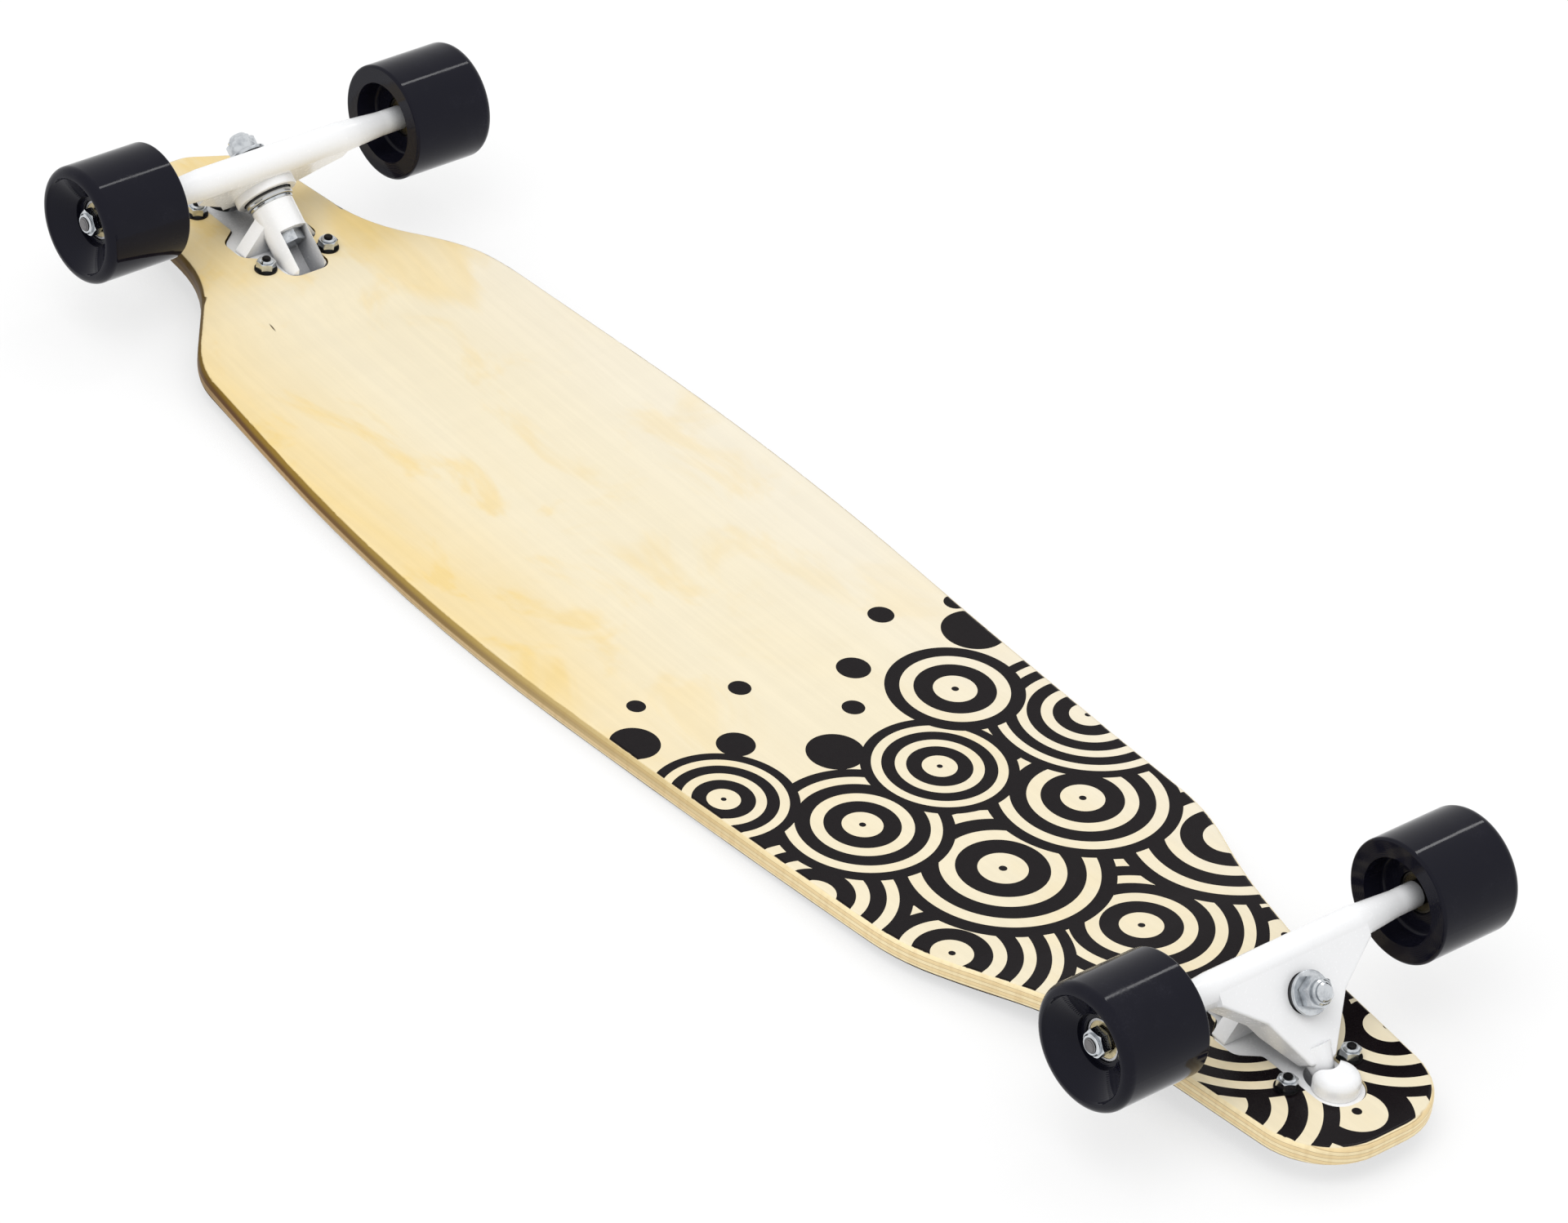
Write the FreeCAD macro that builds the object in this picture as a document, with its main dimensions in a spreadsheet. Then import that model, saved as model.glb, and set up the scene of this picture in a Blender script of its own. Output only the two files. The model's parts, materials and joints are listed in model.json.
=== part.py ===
import FreeCAD, Part
import math
import os
import types

import Sketcher

# A drop-through longboard skateboard, standing on its wheels.
# +X points to the nose, +Y to the left, +Z up; the origin is on the ground below the middle of the deck.
# Lengths are in millimetres and angles in degrees.

SIZES = [
    # running gear layout
    ("wheelbase", 804.2),
    ("wheel_track", 202.4),
    # wheel
    ("wheel_dia", 65.0),
    ("wheel_width", 51.5),
    ("wheel_outer_round", 4.9),
    ("wheel_inner_round", 1.6),
    ("dish_rim_dia", 54.0),
    ("dish_step_wide", 1.0),
    ("dish_step_deep", 1.3),
    ("dish_floor_dia", 28.0),
    ("dish_depth", 10.3),
    ("hub_lip", 1.0),
    ("hub_web_bore", 18.0),
    ("recess_dia", 44.0),
    ("recess_draft", 0.7),
    ("recess_floor_round", 2.5),
    # bearing
    ("bearing_dia", 22.0),
    ("bearing_width", 7.0),
    ("outer_ring_bore", 19.0),
    ("inner_ring_dia", 12.1),
    ("ring_chamfer", 0.4),
    ("shield_thick", 0.4),
    ("shield_setback", 0.3),
    ("shield_gap", 0.3),
    ("spacer_length", 10.0),
    ("spacer_dia", 10.5),
    # axle
    ("axle_dia", 8.0),
    ("axle_chamfer", 0.8),
    ("axle_proud", 1.0),
    ("shaft_fit", 0.05),
    ("speed_washer_dia", 11.5),
    ("speed_washer_thick", 1.0),
    ("axle_nut_flats", 13.0),
    ("axle_nut_hex_height", 5.2),
    ("axle_nut_collar_dia", 11.2),
    ("axle_nut_collar_height", 1.8),
    ("nut_bevel", 0.7),
    # deck in plan, one half: ends measured from the baseplate flange, necks and shoulders inboard of the axle
    ("deck_end_margin", 17.9),
    ("nose_corner_y", 46.0),
    ("nose_corner_round", 40.0),
    ("nose_neck_back", 60.1),
    ("nose_neck_y", 62.2),
    ("nose_neck_round", 340.0),
    ("nose_neck_run_share", 0.6),
    ("nose_shoulder_back", 151.1),
    ("nose_shoulder_in", 23.2),
    ("nose_shoulder_round", 118.0),
    ("belly_back", 115.0),
    ("belly_y", 124.0),
    ("belly_round", 1400.0),
    ("belly_run_share", 0.6),
    ("tail_shoulder_back", 77.4),
    ("tail_shoulder_in", 22.8),
    ("tail_shoulder_round", 55.0),
    ("tail_neck_back", 18.8),
    ("tail_neck_y", 54.4),
    ("tail_neck_round", 85.0),
    ("tail_corner_back", 18.5),
    ("tail_corner_y", 45.7),
    ("tail_corner_round", 34.0),
    ("tail_tip_y", 8.0),
    ("tail_tip_round", 20.0),
    # deck from the side: flat ends, a bend at each neck (placed inboard of the axle) and a crowned middle
    ("deck_rise", 46.5),
    ("deck_thick", 10.0),
    ("deck_edge_round", 3.0),
    ("deck_top_round", 1.0),
    ("tail_bend_far_back", 59.1),
    ("tail_bend_near_back", 84.1),
    ("tail_bend_rise", 6.25),
    ("tail_bend_round", 100.0),
    ("crown_back", 10.0),
    ("crown_rise", 18.1),
    ("crown_round", 6300.0),
    ("crown_run_share", 0.9),
    ("nose_bend_near_back", 113.1),
    ("nose_bend_rise", 4.5),
    ("nose_bend_far_back", 70.1),
    ("nose_bend_round", 300.0),
    ("overrun", 30.0),
    # grip tape
    ("tape_thick", 0.9),
    ("tape_inset", 1.2),
    ("tape_window_gap", 1.0),
    # opening in the deck for a truck, measured outboard of the axle
    ("slot_inner", 43.3),
    ("slot_outer", 61.5),
    ("slot_half", 14.2),
    ("slot_inner_round", 8.0),
    ("slot_outer_round", 13.0),
    ("ear_mid", 4.5),
    ("ear_foot_half", 16.5),
    ("ear_top_half", 8.0),
    ("ear_half", 25.5),
    ("ear_round", 8.0),
    ("ear_foot_round", 3.0),
    # truck mounting bolts
    ("bolt_mid", 3.1),
    ("bolt_long", 63.5),
    ("bolt_wide", 41.3),
    ("bolt_dia", 4.8),
    ("bolt_hole_gap", 0.3),
    ("bolt_head_dia", 9.6),
    ("bolt_head_height", 2.6),
    ("bolt_socket_flats", 3.0),
    ("bolt_socket_deep", 1.8),
    ("bolt_end_proud", 1.0),
    ("bolt_chamfer", 0.5),
    ("bolt_washer_dia", 12.5),
    ("bolt_washer_thick", 1.0),
    ("bolt_nut_flats", 9.5),
    ("bolt_nut_hex_height", 4.5),
    ("bolt_nut_collar_dia", 8.0),
    ("bolt_nut_collar_height", 1.3),
    # baseplate
    ("plug_gap", 0.6),
    ("plug_setback", 1.0),
    ("flange_inner", 48.5),
    ("flange_outer", 69.0),
    ("flange_half", 33.0),
    ("flange_corner_round", 12.0),
    ("flange_thick", 5.0),
    ("flange_edge_round", 1.5),
    ("boss_dia", 24.0),
    ("boss_top", 33.0),
    ("boss_length", 62.0),
    ("window_wide", 16.8),
    ("window_top", 50.0),
    ("window_deep", 9.0),
    ("wing_mid", 9.5),
    ("wing_thick", 9.0),
    ("wing_foot_half", 23.6),
    ("wing_head_half", 10.5),
    ("wing_head_z", 29.0),
    ("wing_round", 2.0),
    ("socket_mid", 47.0),
    ("socket_dia", 23.5),
    ("socket_drop", 9.5),
    ("socket_round", 5.5),
    # kingpin, measured along its axis from the outer face of the road-side washer
    ("kingpin_out", 22.1),
    ("kingpin_up", 7.0),
    ("kingpin_angle", 36.0),
    ("kingpin_dia", 9.5),
    ("kingpin_head_flats", 14.3),
    ("kingpin_head_height", 6.4),
    ("kingpin_end_proud", 1.6),
    ("kingpin_chamfer", 0.8),
    ("kingpin_nut_flats", 14.3),
    ("kingpin_nut_hex_height", 7.0),
    ("kingpin_nut_collar_dia", 12.4),
    ("kingpin_nut_collar_height", 2.2),
    ("road_washer_dia", 22.0),
    ("deck_washer_dia", 25.0),
    ("kingpin_washer_thick", 2.0),
    ("washer_round", 0.6),
    ("bushing_bore_gap", 0.15),
    ("road_bushing_top_dia", 18.5),
    ("road_bushing_foot_dia", 19.5),
    ("road_bushing_height", 8.0),
    ("deck_bushing_dia", 27.0),
    ("deck_bushing_waist", 0.8),
    ("hanger_web", 5.0),
    ("bushing_seat_gap", 0.4),
    # steering axis and pivot
    ("steer_angle", 48.8),
    ("pivot_reach", 50.1),
    ("pivot_tip_dia", 10.0),
    ("pivot_root_dia", 17.0),
    ("pivot_tip_length", 6.5),
    ("pivot_tip_round", 2.5),
    ("pivot_stem_length", 24.0),
    ("pivot_gap", 0.3),
    ("pivot_cup_wall", 2.1),
    ("pivot_cup_length", 8.5),
    ("pivot_cup_floor", 1.4),
    ("pivot_mouth_gap", 2.2),
    # hanger
    ("hanger_face", 5.2),
    ("hanger_back", 22.3),
    ("hanger_taper_v", 14.5),
    ("shroud_dia", 35.0),
    ("shroud_top", 27.0),
    ("hanger_tip_back", 14.5),
    ("hanger_root_half", 48.0),
    ("hanger_root_v", 10.5),
    ("hanger_kink_half", 25.0),
    ("hanger_kink_v", 6.8),
    ("hanger_kink_round", 7.0),
    ("hanger_tip_half", 7.6),
    ("hanger_tip_v", 34.5),
    ("hanger_tip_round", 4.0),
    ("hanger_edge_round", 1.5),
    ("kingpin_clear", 1.6),
    ("bar_root_dia", 17.4),
    ("bar_root_half", 46.0),
    ("bar_end_dia", 13.3),
    ("bar_end_length", 15.0),
    ("bar_chamfer", 1.0),
]

HEX_CORNER_SHARE = 1.0 / math.sqrt(3.0)

doc = FreeCAD.newDocument("Longboard")
sheet = doc.addObject("Spreadsheet::Sheet", "Sizes")
for row, (name, value) in enumerate(SIZES, start=1):
    sheet.set(f"A{row}", name)
    sheet.set(f"B{row}", str(value))
    sheet.setAlias(f"B{row}", name)
doc.recompute()


class Dim:
    """A size with its value and the sheet expression that drives it."""

    def __init__(self, value, text):
        self.value = float(value)
        self.text = text

    def __add__(self, other):
        return Dim(self.value + worth(other), f"({self.text} + {wording(other)})")

    def __radd__(self, other):
        return Dim(worth(other) + self.value, f"({wording(other)} + {self.text})")

    def __sub__(self, other):
        return Dim(self.value - worth(other), f"({self.text} - {wording(other)})")

    def __rsub__(self, other):
        return Dim(worth(other) - self.value, f"({wording(other)} - {self.text})")

    def __mul__(self, other):
        return Dim(self.value * worth(other), f"({self.text} * {wording(other)})")

    def __rmul__(self, other):
        return Dim(worth(other) * self.value, f"({wording(other)} * {self.text})")

    def __truediv__(self, other):
        return Dim(self.value / worth(other), f"({self.text} / {wording(other)})")

    def __neg__(self):
        return Dim(-self.value, f"(0 - {self.text})")


def worth(size):
    return size.value if isinstance(size, Dim) else float(size)


def wording(size):
    return size.text if isinstance(size, Dim) else repr(size)


def cosine(angle):
    return Dim(math.cos(math.radians(angle.value)), f"cos({angle.text})")


def sine(angle):
    return Dim(math.sin(math.radians(angle.value)), f"sin({angle.text})")


def least(first, second):
    return Dim(min(first.value, second.value), f"min({first.text}; {second.text})")


S = types.SimpleNamespace(**{name: Dim(value, f"Sizes.{name}") for name, value in SIZES})

# Derived places used by several pieces.
wheel_r = S.wheel_dia / 2
axle_x = S.wheelbase / 2
wheel_y = S.wheel_track / 2
bearing_out = S.spacer_length / 2 + S.bearing_width
washer_out = bearing_out + S.speed_washer_thick
axle_half = (wheel_y + washer_out + S.axle_nut_hex_height + S.axle_nut_collar_height
             + S.axle_proud)
bar_half = wheel_y - washer_out
deck_top = S.deck_rise + S.deck_thick
deck_half_length = axle_x + S.flange_outer + S.deck_end_margin
nose_bend_near_x = axle_x - S.nose_bend_near_back
tail_bend_near_x = axle_x - S.tail_bend_near_back
nose_shoulder_x = axle_x - S.nose_shoulder_back
tail_shoulder_x = axle_x - S.tail_shoulder_back
flange_top = deck_top + S.flange_thick
king_cos = cosine(S.kingpin_angle)
king_sin = sine(S.kingpin_angle)
web_front = S.kingpin_washer_thick + S.road_bushing_height
web_back = web_front + S.hanger_web
web_mid = web_front + S.hanger_web / 2
steer_x = S.kingpin_out - web_mid * king_cos
steer_z = S.kingpin_up + web_mid * king_sin
pivot_x = steer_x + S.pivot_reach * cosine(S.steer_angle)
pivot_z = steer_z + S.pivot_reach * sine(S.steer_angle)
axle_v = 0 - S.kingpin_out * king_sin - S.kingpin_up * king_cos
axle_w = S.kingpin_out * king_cos - S.kingpin_up * king_sin


def place(item, x, y, z, angle=None, axis=FreeCAD.Vector(0, 1, 0)):
    """Moves an object to x, y, z, turned about the axis, and binds all of it to the sheet."""
    turn = FreeCAD.Rotation(axis, worth(angle) if angle is not None else 0)
    item.Placement = FreeCAD.Placement(FreeCAD.Vector(worth(x), worth(y), worth(z)), turn)
    for letter, size in (("x", x), ("y", y), ("z", z)):
        if isinstance(size, Dim):
            item.setExpression(f"Placement.Base.{letter}", size.text)
    if angle is not None:
        item.setExpression("Placement.Rotation.Angle", angle.text)
    return item


def at_axle(item, x=0, z=0):
    """Truck frame of the nose truck: the origin is the middle of the axle."""
    return place(item, axle_x + x, 0, wheel_r + z)


def at_kingpin(item):
    """Kingpin frame: +Z runs from the kingpin nut to its head, +X from the axle to the pivot."""
    turn = 90 - S.kingpin_angle
    return place(item, axle_x + S.kingpin_out, 0, wheel_r + S.kingpin_up, turn, FreeCAD.Vector(0, -1, 0))


def at_kingpin_nut(item):
    """Kingpin frame turned over: +Z runs from the road-side washer to the threaded end."""
    return place(item, axle_x + S.kingpin_out, 0, wheel_r + S.kingpin_up, 90 + S.kingpin_angle)


def at_pivot(item):
    """Pivot frame: the origin is in the pivot cup and +Z follows the steering axis into it."""
    return place(item, axle_x + pivot_x, 0, wheel_r + pivot_z, 90 - S.steer_angle)


def at_wheel(item):
    """Wheel frame of the nose wheel on the left: +Y points outwards along the axle."""
    return place(item, axle_x, wheel_y, wheel_r)


def at_bolt(item):
    """Bolt frame of the outboard bolt on the left: +Z is up and the origin is level with the axle."""
    return place(item, axle_x + S.bolt_mid + S.bolt_long / 2, S.bolt_wide / 2, wheel_r)


def at_bolt_nut(item):
    """The same bolt turned over, with the origin on the washer under the deck and +Z down."""
    seat = wheel_r + S.deck_rise - S.bolt_washer_thick
    x = axle_x + S.bolt_mid + S.bolt_long / 2
    return place(item, x, S.bolt_wide / 2, seat, Dim(180, "180"))


def new_body(name):
    return doc.addObject("PartDesign::Body", name)


def sketch_on(body, name, role, lift=None):
    """A sketch on one of the body's own planes, raised along that plane's normal by lift."""
    sketch = body.newObject("Sketcher::SketchObject", name)
    plane = [item for item in body.Origin.OriginFeatures if item.Role == role][0]
    sketch.AttachmentSupport = [(plane, "")]
    sketch.MapMode = "FlatFace"
    if isinstance(lift, Dim):
        sketch.setExpression("AttachmentOffset.Base.z", lift.text)
    return sketch


def pin(sketch, geometry, point, x, y):
    """Fixes a point of the sketch at x, y."""
    for kind, size, axis in (("DistanceX", x, -2), ("DistanceY", y, -1)):
        if isinstance(size, Dim):
            rule = Sketcher.Constraint(kind, -1, 1, geometry, point, size.value)
            index = sketch.addConstraint(rule)
            sketch.setExpression(f"Constraints[{index}]", size.text)
        else:
            sketch.addConstraint(Sketcher.Constraint("PointOnObject", geometry, point, axis))


def outline(sketch, corners):
    """A closed outline through the corners (x, y, radius); a radius rounds its corner with a tangent arc."""
    count = len(corners)
    spots = [FreeCAD.Vector(worth(x), worth(y), 0) for x, y, radius in corners]
    guides = []
    for i in range(count):
        guide = Part.LineSegment(spots[i], spots[(i + 1) % count])
        guides.append(sketch.addGeometry(guide, True))
    for i, (x, y, radius) in enumerate(corners):
        joint = Sketcher.Constraint("Coincident", guides[i - 1], 2, guides[i], 1)
        sketch.addConstraint(joint)
        pin(sketch, guides[i], 1, x, y)
    arrive = []
    leave = []
    arcs = []
    for i, (x, y, radius) in enumerate(corners):
        before = spots[i - 1] - spots[i]
        after = spots[(i + 1) % count] - spots[i]
        before.normalize()
        after.normalize()
        if radius is None:
            arrive.append(spots[i])
            leave.append(spots[i])
            arcs.append(None)
            continue
        half = before.getAngle(after) / 2
        cut = radius.value / math.tan(half)
        middle = before + after
        middle.normalize()
        centre = spots[i] + middle * (radius.value / math.sin(half))
        arrive.append(spots[i] + before * cut)
        leave.append(spots[i] + after * cut)
        left_turn = before.cross(after).z < 0
        first = arrive[i] if left_turn else leave[i]
        last = leave[i] if left_turn else arrive[i]
        circle = Part.Circle(centre, FreeCAD.Vector(0, 0, 1), radius.value)
        begin = math.atan2(first.y - centre.y, first.x - centre.x)
        end = math.atan2(last.y - centre.y, last.x - centre.x)
        arc = sketch.addGeometry(Part.ArcOfCircle(circle, begin, end), False)
        arcs.append((arc, left_turn))
    sides = []
    for i in range(count):
        side = Part.LineSegment(leave[i], arrive[(i + 1) % count])
        sides.append(sketch.addGeometry(side, False))
    rules = []
    for i in range(count):
        following = (i + 1) % count
        for corner, point in ((i, 1), (following, 2)):
            if arcs[corner] is None:
                guide_point = 1 if point == 1 else 2
                rules.append(Sketcher.Constraint("Coincident", sides[i], point, guides[i], guide_point))
            else:
                rules.append(Sketcher.Constraint("PointOnObject", sides[i], point, guides[i]))
    for i in range(count):
        if arcs[i] is None:
            continue
        arc, left_turn = arcs[i]
        start, finish = (1, 2) if left_turn else (2, 1)
        rules.append(Sketcher.Constraint("Tangent", sides[i - 1], 2, arc, start))
        rules.append(Sketcher.Constraint("Tangent", arc, finish, sides[i], 1))
    sketch.addConstraint(rules)
    for i, (x, y, radius) in enumerate(corners):
        if arcs[i] is None:
            continue
        index = sketch.addConstraint(Sketcher.Constraint("Radius", arcs[i][0], radius.value))
        sketch.setExpression(f"Constraints[{index}]", radius.text)


def circles(sketch, centres, radius):
    """Equal circles at the given centres."""
    for x, y in centres:
        spot = FreeCAD.Vector(worth(x), worth(y), 0)
        ring = sketch.addGeometry(Part.Circle(spot, FreeCAD.Vector(0, 0, 1), radius.value), False)
        pin(sketch, ring, 3, x, y)
        index = sketch.addConstraint(Sketcher.Constraint("Radius", ring, radius.value))
        sketch.setExpression(f"Constraints[{index}]", radius.text)


def pad(body, sketch, length):
    feature = body.newObject("PartDesign::Pad", sketch.Name + "_Pad")
    feature.Profile = sketch
    feature.setExpression("Length", length.text)
    return feature


def pocket(body, sketch, length, flip=False):
    feature = body.newObject("PartDesign::Pocket", sketch.Name + "_Pocket")
    feature.Profile = sketch
    feature.setExpression("Length", length.text)
    feature.Reversed = flip
    return feature


def padded(name, corners, role, lift, length):
    """A body made by padding one outline."""
    body = new_body(name)
    sketch = sketch_on(body, name + "_Outline", role, lift)
    outline(sketch, corners)
    pad(body, sketch, length)
    return body


def turned(name, corners, role="XZ_Plane"):
    """A body made by turning a half section (radius, height) about the sketch's upright axis."""
    body = new_body(name)
    sketch = sketch_on(body, name + "_Section", role)
    outline(sketch, corners)
    feature = body.newObject("PartDesign::Revolution", name + "_Turn")
    feature.Profile = sketch
    feature.ReferenceAxis = (sketch, ["V_Axis"])
    feature.Angle = 360
    return body


def ring(name, inner, outer, low, high, role="XZ_Plane", bevel=None):
    """A turned ring between two radii and two heights, with its outer corners bevelled if asked."""
    if bevel is None:
        corners = [(inner, low, None), (outer, low, None), (outer, high, None), (inner, high, None)]
    else:
        corners = [(inner, low, None), (outer - bevel, low, None), (outer, low + bevel, None),
                   (outer, high - bevel, None), (outer - bevel, high, None), (inner, high, None)]
    return turned(name, corners, role)


def boolean(kind, name, base, tool):
    item = doc.addObject("Part::" + kind, name)
    item.Base = base
    item.Tool = tool
    return item


def joined(name, items):
    item = doc.addObject("Part::MultiFuse", name)
    item.Shapes = items
    return item


def group(name, items):
    item = doc.addObject("Part::Compound", name)
    item.Links = items
    return item


def mirrored(name, source, axis, offset=None):
    """The mirror image across the plane that is normal to axis ("x" or "y") at offset."""
    item = doc.addObject("Part::Mirroring", name)
    item.Source = source
    item.Normal = FreeCAD.Vector(1, 0, 0) if axis == "x" else FreeCAD.Vector(0, 1, 0)
    if offset is not None:
        item.setExpression(f"Base.{axis}", offset.text)
    return item


def hexagon(name, flats, low, height, frame, upright=True):
    """A six-sided prism with its flats facing +Y and -Y, from low upwards, in the given frame."""
    reach = flats * HEX_CORNER_SHARE
    body = new_body(name)
    sketch = sketch_on(body, name + "_Outline", "XY_Plane" if upright else "XZ_Plane", low)
    corners = []
    for x_share, y_share in ((1, 0), (0.5, 0.5), (-0.5, 0.5), (-1, 0), (-0.5, -0.5), (0.5, -0.5)):
        y = flats * y_share if y_share else 0
        corners.append((reach * x_share, y, None))
    outline(sketch, corners)
    pad(body, sketch, height)
    return frame(body)


def lock_nut(name, flats, hexagon_height, collar_dia, collar_height, bore, seat, role, frame):
    """A hexagon nut with bevelled corners and a round locking collar, growing from its seat."""
    upright = role == "XZ_Plane"
    top = seat + hexagon_height
    lift = seat if upright else 0 - top
    blank = hexagon(name + "_Hex", flats, lift, hexagon_height, frame, upright)
    reach = flats * HEX_CORNER_SHARE
    section = [(0, seat, None), (reach - S.nut_bevel, seat, None),
               (reach, seat + S.nut_bevel * HEX_CORNER_SHARE, None),
               (reach, top - S.nut_bevel * HEX_CORNER_SHARE, None),
               (reach - S.nut_bevel, top, None), (0, top, None)]
    cone = frame(turned(name + "_Bevel", section, role))
    head = boolean("Common", name + "_Head", blank, cone)
    collar_top = top + collar_height
    half = collar_dia / 2
    collar_section = [(0, seat, None), (half, seat, None), (half, collar_top - S.nut_bevel, None),
                      (half - S.nut_bevel, collar_top, None), (0, collar_top, None)]
    collar = frame(turned(name + "_Collar", collar_section, role))
    solid = joined(name + "_Blank", [head, collar])
    hole = frame(ring(name + "_Hole", 0, bore, seat - S.overrun, collar_top + S.overrun, role))
    return boolean("Cut", name, solid, hole)


def both_sides(upper):
    """The corners of a half outline followed by their mirror images across the X axis."""
    lower = [(x, 0 - y, radius) for x, y, radius in reversed(upper)]
    return upper + lower


def gentle(radius, run_share, first_run, first_rise, last_run, last_rise):
    """The radius of a shallow bend, kept to a share of the shorter run beside it."""
    turn = first_rise / first_run + last_rise / last_run
    return least(radius, least(first_run, last_run) * run_share * 2 / turn)


def deck_corners(inset):
    """Plan outline of the deck, from the nose round by the left side, drawn in by inset."""
    side = S.belly_y - inset
    belly_round = gentle(S.belly_round, S.belly_run_share, nose_shoulder_x + S.belly_back, S.nose_shoulder_in,
                         tail_shoulder_x - S.belly_back, S.tail_shoulder_in)
    nose_neck_x = axle_x - S.nose_neck_back
    neck_round = gentle(S.nose_neck_round, S.nose_neck_run_share,
                        nose_neck_x - nose_shoulder_x, S.belly_y - S.nose_shoulder_in - S.nose_neck_y,
                        deck_half_length - nose_neck_x, S.nose_corner_y - S.nose_neck_y)
    tail_corner_x = deck_half_length - S.tail_corner_back
    upper = [
        (deck_half_length - inset, S.nose_corner_y - inset, S.nose_corner_round),
        (nose_neck_x, S.nose_neck_y - inset, neck_round),
        (nose_shoulder_x, side - S.nose_shoulder_in, S.nose_shoulder_round),
        (0 - S.belly_back, side, belly_round),
        (0 - tail_shoulder_x, side - S.tail_shoulder_in, S.tail_shoulder_round),
        (S.tail_neck_back - axle_x, S.tail_neck_y - inset, S.tail_neck_round),
        (inset - tail_corner_x, S.tail_corner_y - inset, S.tail_corner_round),
        (inset - deck_half_length, S.tail_tip_y - inset, S.tail_tip_round),
    ]
    return both_sides(upper)


def side_line(height):
    """The deck's line seen from the side, from tail to nose, raised by height above the deck's underside."""
    end = deck_half_length + S.overrun
    base = S.deck_rise + height
    crown_round = gentle(S.crown_round, S.crown_run_share,
                         tail_bend_near_x - S.crown_back, S.crown_rise - S.tail_bend_rise,
                         nose_bend_near_x + S.crown_back, S.crown_rise - S.nose_bend_rise)
    return [
        (0 - end, base, None),
        (S.tail_bend_far_back - axle_x, base, S.tail_bend_round),
        (0 - tail_bend_near_x, base + S.tail_bend_rise, S.tail_bend_round),
        (0 - S.crown_back, base + S.crown_rise, crown_round),
        (nose_bend_near_x, base + S.nose_bend_rise, S.nose_bend_round),
        (axle_x - S.nose_bend_far_back, base, S.nose_bend_round),
        (end, base, None),
    ]


def slot_corners(inset):
    """The truck opening in the nose truck's frame, drawn in by inset."""
    half = S.slot_half - inset
    upper = [
        (S.slot_outer - inset, half, S.slot_outer_round - inset),
        (S.ear_foot_half - S.ear_mid - inset, half, S.ear_foot_round),
        (S.ear_top_half - S.ear_mid - inset, S.ear_half - inset, S.ear_round),
        (0 - S.ear_top_half - S.ear_mid + inset, S.ear_half - inset, S.ear_round),
        (0 - S.ear_foot_half - S.ear_mid + inset, half, S.ear_foot_round),
        (0 - S.slot_inner + inset, half, S.slot_inner_round),
    ]
    return both_sides(upper)


def on_deck(corners, sign):
    """Corners given in the truck frame moved to the nose end (sign 1) or mirrored to the tail end (-1)."""
    return [((axle_x + x) * sign, y, radius) for x, y, radius in corners]


def flange_corners(grow):
    """The baseplate's flange outline, grown by grow, in the truck frame."""
    radius = S.flange_corner_round + grow
    half = S.flange_half + grow
    return both_sides([(S.flange_outer + grow, half, radius), (0 - S.flange_inner - grow, half, radius)])


def fillet(body, feature, edges, radius):
    """Rounds the chosen edges (numbers from 1) of the body's latest feature."""
    item = body.newObject("PartDesign::Fillet", feature.Name + "_Round")
    item.Base = (feature, [f"Edge{number}" for number in edges])
    item.setExpression("Radius", radius.text)
    return item


def rim_edges(shape, upper):
    """Edges where an upright wall meets the upper (or the under) side of the shape."""
    walls = set()
    skins = set()
    for face in shape.Faces:
        low_u, high_u, low_v, high_v = face.ParameterRange
        normal = face.normalAt((low_u + high_u) / 2, (low_v + high_v) / 2)
        upright_share = abs(normal.z)
        keep = walls if upright_share < 0.5 else skins
        if keep is skins and (normal.z > 0) != upper:
            continue
        keep.update(edge.hashCode() for edge in face.Edges)
    return [number for number, edge in enumerate(shape.Edges, start=1)
            if edge.hashCode() in walls and edge.hashCode() in skins]


def sheet_along_deck(name, low, high, inset):
    """A sheet that follows the deck's side line between two heights, trimmed to the plan outline."""
    body = new_body(name)
    reach = S.belly_y + S.overrun
    side = sketch_on(body, name + "_Side", "XZ_Plane", 0 - reach)
    outline(side, side_line(low) + list(reversed(side_line(high))))
    pad(body, side, reach * 2)
    above = deck_top + S.crown_rise + S.overrun
    plan = sketch_on(body, name + "_Plan", "XY_Plane", above)
    end = deck_half_length + S.overrun * 2
    edge = reach + S.overrun
    outline(plan, both_sides([(end, edge, None), (0 - end, edge, None)]))
    outline(plan, deck_corners(inset))
    trim = pocket(body, plan, above)
    return place(body, 0, 0, wheel_r), trim


def open_sheet(body, name, corner_lists):
    """Cuts closed outlines right through a sheet."""
    above = deck_top + S.crown_rise + S.overrun
    sketch = sketch_on(body, name, "XY_Plane", above)
    for corners in corner_lists:
        outline(sketch, corners)
    return pocket(body, sketch, above)


# Deck: follows the side line, trimmed to the plan outline, edges rounded, opened for trucks and bolts.
deck, deck_trim = sheet_along_deck("deck", 0, S.deck_thick, 0)
doc.recompute()
deck_under = fillet(deck, deck_trim, rim_edges(deck_trim.Shape, False), S.deck_edge_round)
doc.recompute()
fillet(deck, deck_under, rim_edges(deck_under.Shape, True), S.deck_top_round)
open_sheet(deck, "deck_Slots", [on_deck(slot_corners(0), sign) for sign in (1, -1)])
bolt_above = deck_top + S.crown_rise + S.overrun
bolt_holes = sketch_on(deck, "deck_Bolt_Holes", "XY_Plane", bolt_above)
bolt_centres = []
for end_sign in (1, -1):
    for long_sign in (1, -1):
        for side_sign in (1, -1):
            hole_x = (axle_x + S.bolt_mid + S.bolt_long / 2 * long_sign) * end_sign
            bolt_centres.append((hole_x, S.bolt_wide / 2 * side_sign))
circles(bolt_holes, bolt_centres, S.bolt_dia / 2 + S.bolt_hole_gap)
pocket(deck, bolt_holes, bolt_above)

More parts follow.
